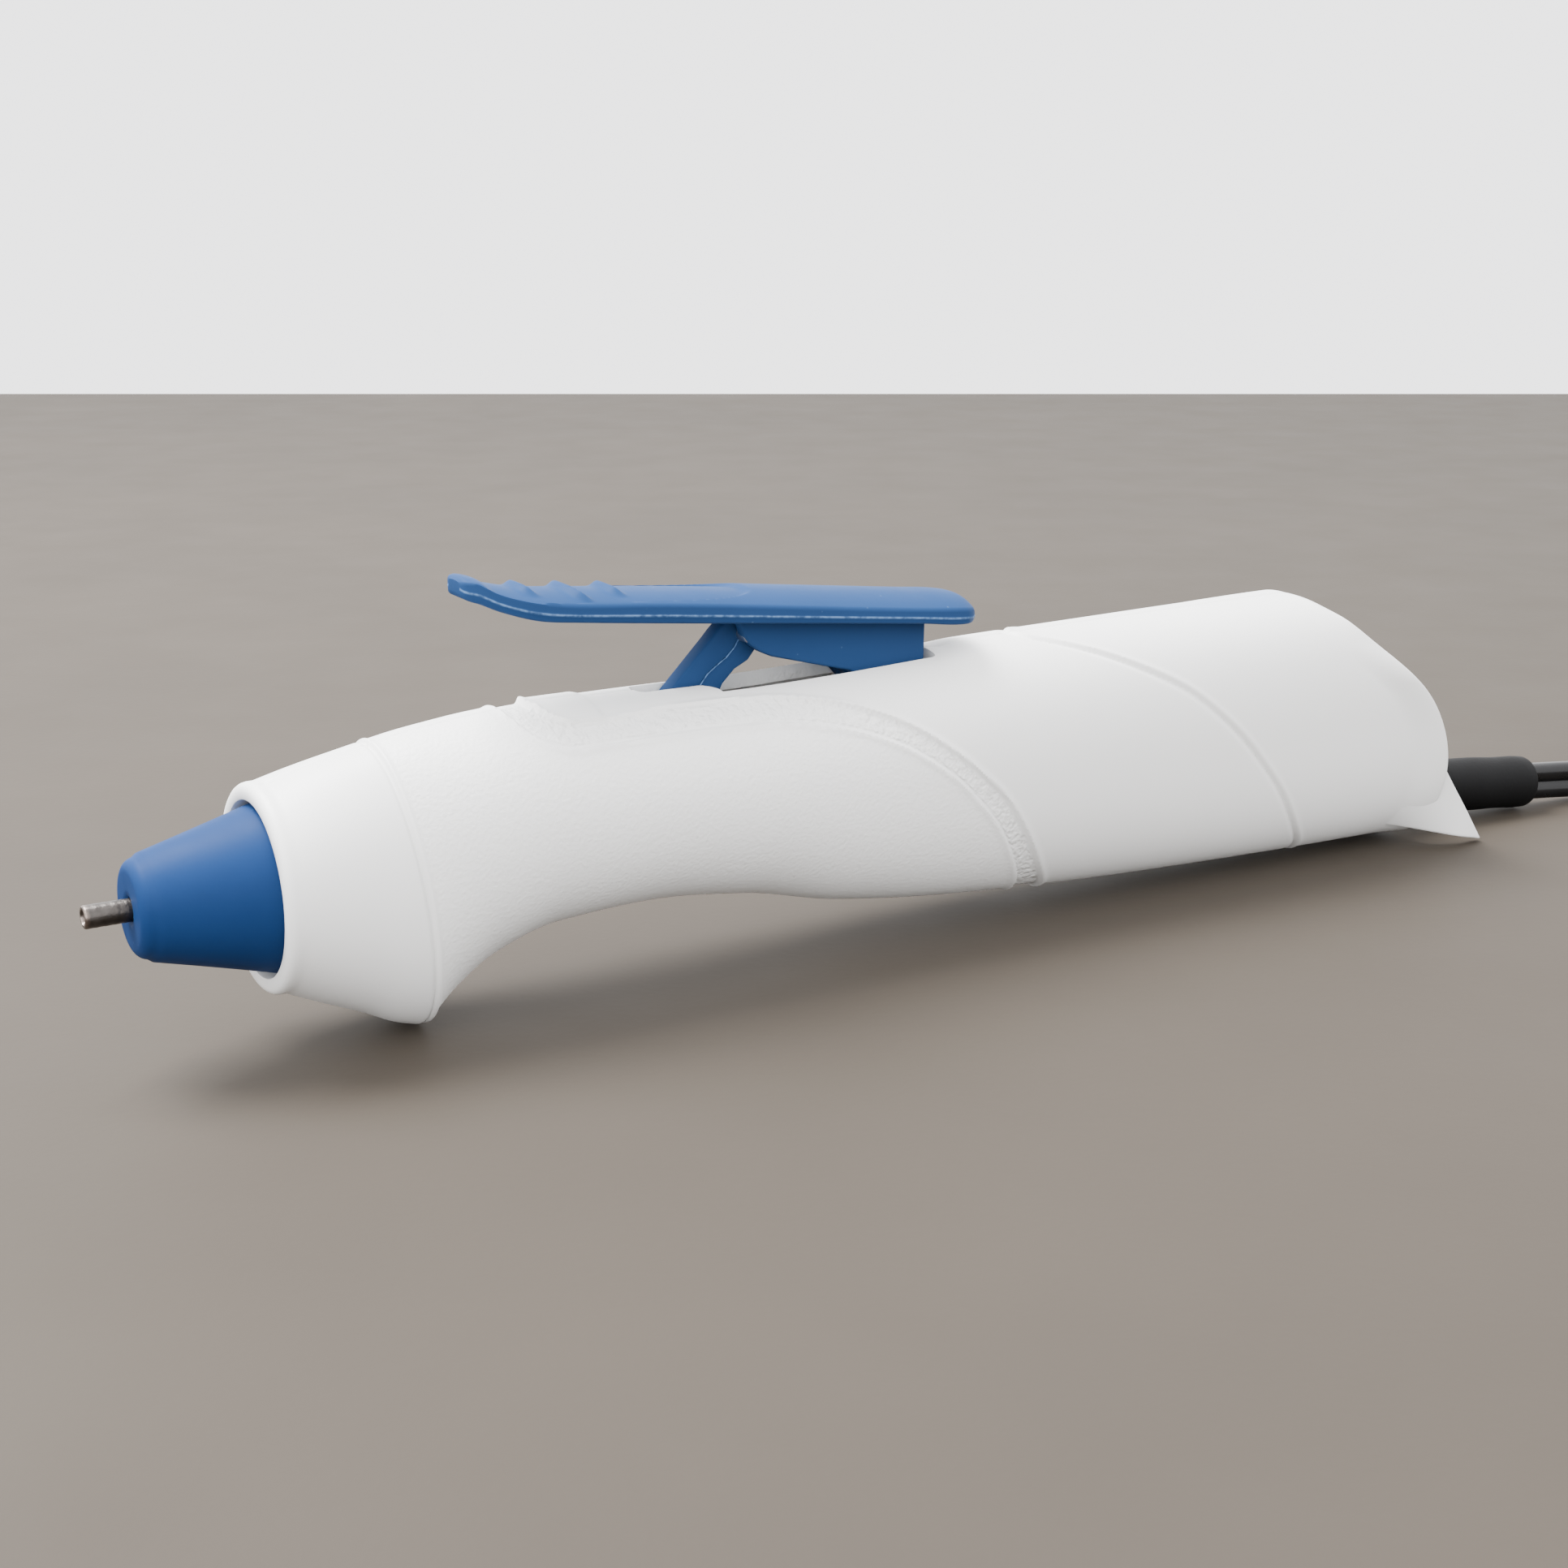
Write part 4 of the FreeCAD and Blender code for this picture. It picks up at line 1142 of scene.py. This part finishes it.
# ---------------------------------------------------------------- cord
@dataclass
class Cord:
    """Two-core mains cord, its rubber sleeve, and its hank, tie and plug, in the frame's millimetres."""

    width: float = 5.8
    core_radius: float = 1.5
    leave: tuple[Triple, ...] = (
        (121.3, -3.0, 4.1), (133.0, -3.9, 3.2), (145.0, -8.4, 2.9), (156.5, -15.6, 2.9), (166.5, -22.6, 2.9),
        (176.0, -25.9, 2.9))
    hank_left: float = 182.0
    hank_right: float = 270.0
    hank_middle: float = -3.0
    lanes: Table = (
        (23.8, 2.9), (20.6, 2.9), (17.4, 2.9), (17.4, 8.8), (20.6, 8.8), (23.8, 8.8))
    tie_front: float = 181.5
    tie_rear: float = 187.5
    plug_rear: float = 216.0
    plug_height: float = 6.6
    corners_per_bend: int = 5

    def bend(self, centre: float, start: float, radius: float, height: float,
             rise: float = 0.0) -> list[Triple]:
        """Control points round one half turn of the hank.

        Args:
            centre: Where the middle of the turn is along the pen.
            start: Angle at which it starts.
            radius: Its radius.
            height: Height of its first point.
            rise: How far it climbs where it turns back.

        Returns:
            The control points.
        """
        step = math.pi / self.corners_per_bend
        reach = radius / math.cos(step / 2)
        angles = [start + step * (k + 0.5) for k in range(self.corners_per_bend)]
        return [(centre + reach * math.cos(a), self.hank_middle + reach * math.sin(a),
                 height + rise * max(0.0, math.sin(a)) ** 2) for a in angles]

    def route(self) -> list[Triple]:
        """Control points of the cord from the sleeve through the hank to the plug."""
        points = list(self.leave)
        pull = math.tan(math.pi / self.corners_per_bend / 2)
        left, right, middle = self.hank_left, self.hank_right, self.hank_middle
        for turn, (r, z) in enumerate(self.lanes):
            first = 0.62 if turn == 0 else pull
            points += [(left + first * r, middle - r, z), (left + 34, middle - r - 0.3, z),
                       (right - 30, middle - r + 0.2, z), (right - pull * r, middle - r, z)]
            last = turn + 1 == len(self.lanes)
            points += self.bend(right, -math.pi / 2, r, z, 5.8 if last else 0.0)
            if last:
                break
            to_r, to_z = self.lanes[turn + 1]
            points += [(right - pull * r, middle + r, z), (right - 30, middle + r + 0.1, z),
                       (left + 30, middle + to_r - 0.1, to_z), (left + pull * to_r, middle + to_r, to_z)]
            points += self.bend(left, math.pi / 2, to_r, to_z)
        points += [(259.0, middle + 22.4, 14.75), (249.0, middle + 17.6, 14.9), (239.5, middle + 11.0, 14.2),
                   (230.0, middle + 5.2, 11.6), (222.5, middle + 1.9, 8.9),
                   (self.plug_rear, middle + 0.3, self.plug_height + 0.2)]
        return points

    def centreline(self) -> np.ndarray:
        """Points of the route's smooth line, in metres."""
        curve = bpy.data.curves.new("cord_line", "CURVE")
        curve.dimensions = "3D"
        spline = curve.splines.new("NURBS")
        route = self.route()
        spline.points.add(len(route) - 1)
        for point, place in zip(spline.points, route):
            point.co = (*[v * MM for v in place], 1.0)
        spline.order_u, spline.use_endpoint_u, spline.resolution_u = 3, True, 6
        holder = bpy.data.objects.new("cord_line", curve)
        mesh = bpy.data.meshes.new_from_object(holder)
        line = np.array([v.co for v in mesh.vertices], float).reshape(-1, 3)
        bpy.data.meshes.remove(mesh)
        bpy.data.objects.remove(holder)
        bpy.data.curves.remove(curve)
        return line

    def profile(self) -> list[tuple[float, float]]:
        """Section of two cores side by side, as (sideways, along the width), in millimetres."""
        r, apart = self.core_radius, self.width / 2 - self.core_radius
        groove = math.radians(38)
        turn = np.linspace(-groove, math.pi + groove, 15)
        upper = [(r * math.cos(a), apart + r * math.sin(a)) for a in turn]
        lower = [(r * math.cos(a), -apart + r * math.sin(a)) for a in turn + math.pi]
        return upper + [(-0.82, 0.0)] + lower + [(0.82, 0.0)]

    def tube(self, line: np.ndarray) -> Piece:
        """Sweep the two-core section along the line, its width upright."""
        ahead = unit(np.gradient(line, axis=0))
        side = unit(np.cross(ahead, (0, 0, 1)))
        up = np.cross(side, ahead)
        ring = np.array(self.profile()) * MM
        points = line[:, None] + side[:, None] * ring[None, :, :1] + up[:, None] * ring[None, :, 1:]
        return smooth(loft("mains_cord", points / MM - (HEEL_X, 0, 0)), 50)

    def sleeve(self) -> Piece:
        """Tapered rubber sleeve that leans to the near side, with a rounded mouth."""
        start, end = np.array((155.0, 0.0, 6.6)), np.array((185.8, -3.0, 4.15))
        along = unit(end - start)
        side = unit(np.cross(along, (0, 0, 1)))
        up = np.cross(side, along)
        long = float(np.linalg.norm(end - start))
        profile = [(-6.8, 0.01), (-6.8, 3.15), (-0.4, 3.15), (-0.3, 4.0), (0.0, 4.2)]
        profile += [(long * k / 24, 4.2 - 0.2 * k / 24 + 0.05 * math.sin(k * 0.9)) for k in range(1, 23)]
        profile += [(long - 0.75, 3.95), (long - 0.35, 3.78), (long - 0.1, 3.45), (long, 3.0), (long, 2.2),
                    (long - 0.6, 1.7), (long - 0.8, 0.01)]
        turn = circle(64)[:, None]
        rings = [start + along * u + side * (r * np.cos(turn)) + up * (r * np.sin(turn)) for u, r in profile]
        return smooth(loft("rubber_sleeve", rings), 40)

    def tie(self) -> Piece:
        """Woven strap over the hank."""
        half = self.lanes[0][0] + self.core_radius + 0.2
        top, thick, corner = self.lanes[-1][1] + self.width / 2 + 0.12, 0.85, 1.8
        path = [(-half, 0.1), (-half, top - corner)]
        path += [(-half + corner - corner * math.cos(a), top - corner + corner * math.sin(a)) for a in
                 np.linspace(0.2, math.pi / 2, 7)]
        path += [(y, top - 0.25 * math.cos(y / half * math.pi / 2))
                 for y in np.linspace(-half + 6, half - 6, 15)]
        path += [(-y, z) for y, z in reversed(path[:9])]
        line = np.array(path)
        ahead = unit(np.gradient(line, axis=0))
        out = np.stack([-ahead[:, 1], ahead[:, 0]], axis=1)
        x0, x1 = self.tie_front, self.tie_rear
        across = [(x0, 0.1), (x0 + 0.2, 0.0), (x1 - 0.2, 0.0), (x1, 0.1), (x1, thick - 0.15),
                  (x1 - 0.4, thick),
                  *[(x, thick - 0.08 * (k % 2)) for k, x in enumerate(np.linspace(x1 - 1, x0 + 1, 17))],
                  (x0 + 0.4, thick), (x0, thick - 0.15)]
        rings = [[(x - HEEL_X, self.hank_middle + p[0] + n[0] * h, p[1] + n[1] * h) for x, h in across]
                 for p, n in zip(line, out)]
        return smooth(loft("cord_strap", rings), 40)

    def plug(self) -> Piece:
        """Moulded plug with a ribbed neck and finger dips, resting on the table inside the hank."""
        stations = [(0.0, 3.3, 3.3, 2.0)]
        for k in range(1, 17):
            r = 3.4 + 1.6 * k / 16 + (0.28 if k % 4 in (1, 2) else 0.0)
            stations.append((k * 0.5, r, r, 2.0))
        stations += [(8.3, 6.5, 5.6, 2.4), (9.2, 8.6, 6.1, 2.8), (10.5, 10.0, 6.4, 3.2)]
        for k in range(1, 15):
            dip = 0.9 * math.sin(math.pi * k / 14)
            stations.append((10.5 + k * 1.1, 10.6 - dip, 6.5 - (0.35 if k % 2 and 3 < k < 12 else 0.0), 3.6))
        stations += [(26.6, 10.8, 6.5, 4.0), (27.5, 10.7, 6.4, 4.0), (27.9, 10.4, 6.1, 4.0),
                     (28.0, 10.0, 5.7, 4.0)]
        turn = circle(72)
        rings = []
        for back, half_y, half_z, square in stations:
            y = half_y * squared_off(np.cos(turn), 2 / square) + self.hank_middle
            z = half_z * squared_off(np.sin(turn), 2 / square) + self.plug_height
            rings.append(np.stack([np.full(len(turn), self.plug_rear - back - HEEL_X), y, z], axis=1))
        return smooth(loft("mains_plug", rings), 35)

    def build(self) -> None:
        line = self.centreline()
        cord = place_piece(self.tube(line), Body.CASING, "cord_pvc", CORD, "power_cord", "cord_hank",
                           "plug_lead")
        sleeve = place_piece(self.sleeve(), Body.CASING, "cord_rubber", RUBBER, "strain_relief")
        tie = place_piece(self.tie(), Body.CASING, "cord_rubber", STRAP, "cord_tie")
        plug = place_piece(self.plug(), Body.CASING, "cord_pvc", CORD, "plug_body")


# ---------------------------------------------------------------- table, light and camera
@dataclass
class Studio:
    """Pale table with a soft light from above, a white room behind it, and the camera."""

    eye: Triple = (-0.1611, -0.2505, 0.104)
    pitch: float = 74.3
    heading: float = -30.7
    lens: float = 54.0
    table_depth: float = 0.945
    table_size: float = 3.0
    room: Triple = (0.80, 0.80, 0.81)
    room_strength: float = 3.9

    def camera(self) -> None:
        """Place the camera."""
        data = bpy.data.cameras.new("camera")
        data.lens, data.sensor_width = self.lens, 36.0
        data.clip_start, data.clip_end = 0.01, 20.0
        camera = bpy.data.objects.new("camera", data)
        camera.location = self.eye
        camera.rotation_euler = Euler((math.radians(self.pitch), 0, math.radians(self.heading)))
        bpy.context.scene.collection.objects.link(camera)
        bpy.context.scene.camera = camera

    def table(self) -> None:
        """Lay the table top, whose far edge is square to the camera."""
        deselect()
        heading = math.radians(self.heading)
        ahead = Vector((-math.sin(heading), math.cos(heading), 0))
        centre = Vector((self.eye[0], self.eye[1], 0)) + ahead * (self.table_depth - self.table_size / 2)
        bpy.ops.mesh.primitive_plane_add(size=self.table_size, location=centre - Vector((0, 0, 0.00002)),
                                         rotation=(0, 0, heading))
        top = bpy.context.object
        top.name = "table_top"
        finish = Finish("pale_table", (0.046, 0.038, 0.030), 0.62, grain=1.2, grain_depth=0.02, mottle=0.10,
                        mottle_size=60.0, specular=0.12)
        dress(top, finish.build())

    def area_light(self, name: str, place: Triple, size: float, power: float) -> None:
        """Add a square soft light that faces the pen.

        Args:
            name: Name of the light.
            place: Where it is, in metres.
            size: Length of its sides, in metres.
            power: Its power in watts.
        """
        data = bpy.data.lights.new(name, "AREA")
        data.shape, data.size, data.energy = "SQUARE", size, power
        light = bpy.data.objects.new(name, data)
        light.location = place
        light.rotation_euler = (Vector((0, 0, 0.02)) - Vector(place)).to_track_quat("-Z", "Y").to_euler()
        bpy.context.scene.collection.objects.link(light)

    def build(self) -> None:
        """Set up camera, table, room and lights."""
        self.camera()
        self.table()
        world = bpy.data.worlds.new("room")
        world.use_nodes = True
        world.node_tree.nodes["Background"].inputs["Color"].default_value = (*self.room, 1)
        world.node_tree.nodes["Background"].inputs["Strength"].default_value = self.room_strength
        bpy.context.scene.world = world
        self.area_light("overhead", (-0.25, 0.35, 0.8), 0.5, 38.0)
        self.area_light("front_fill", (-0.7, -0.5, 0.6), 0.8, 8.0)


def dress_cad_nodes() -> None:
    """Give every CAD node that is still shown its finish."""
    for finish, nodes in CAD_FINISHES.items():
        material = finish.build()
        for node in nodes:
            dress(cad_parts[node], material)


def main() -> None:
    """Build every sub-assembly."""
    Studio().build()
    Cord().build()
    Nose().build()
    Lever().build()
    Link().build()
    Spring().build()
    Casing().build()
    dress_cad_nodes()


if __name__ == "__main__":
    main()
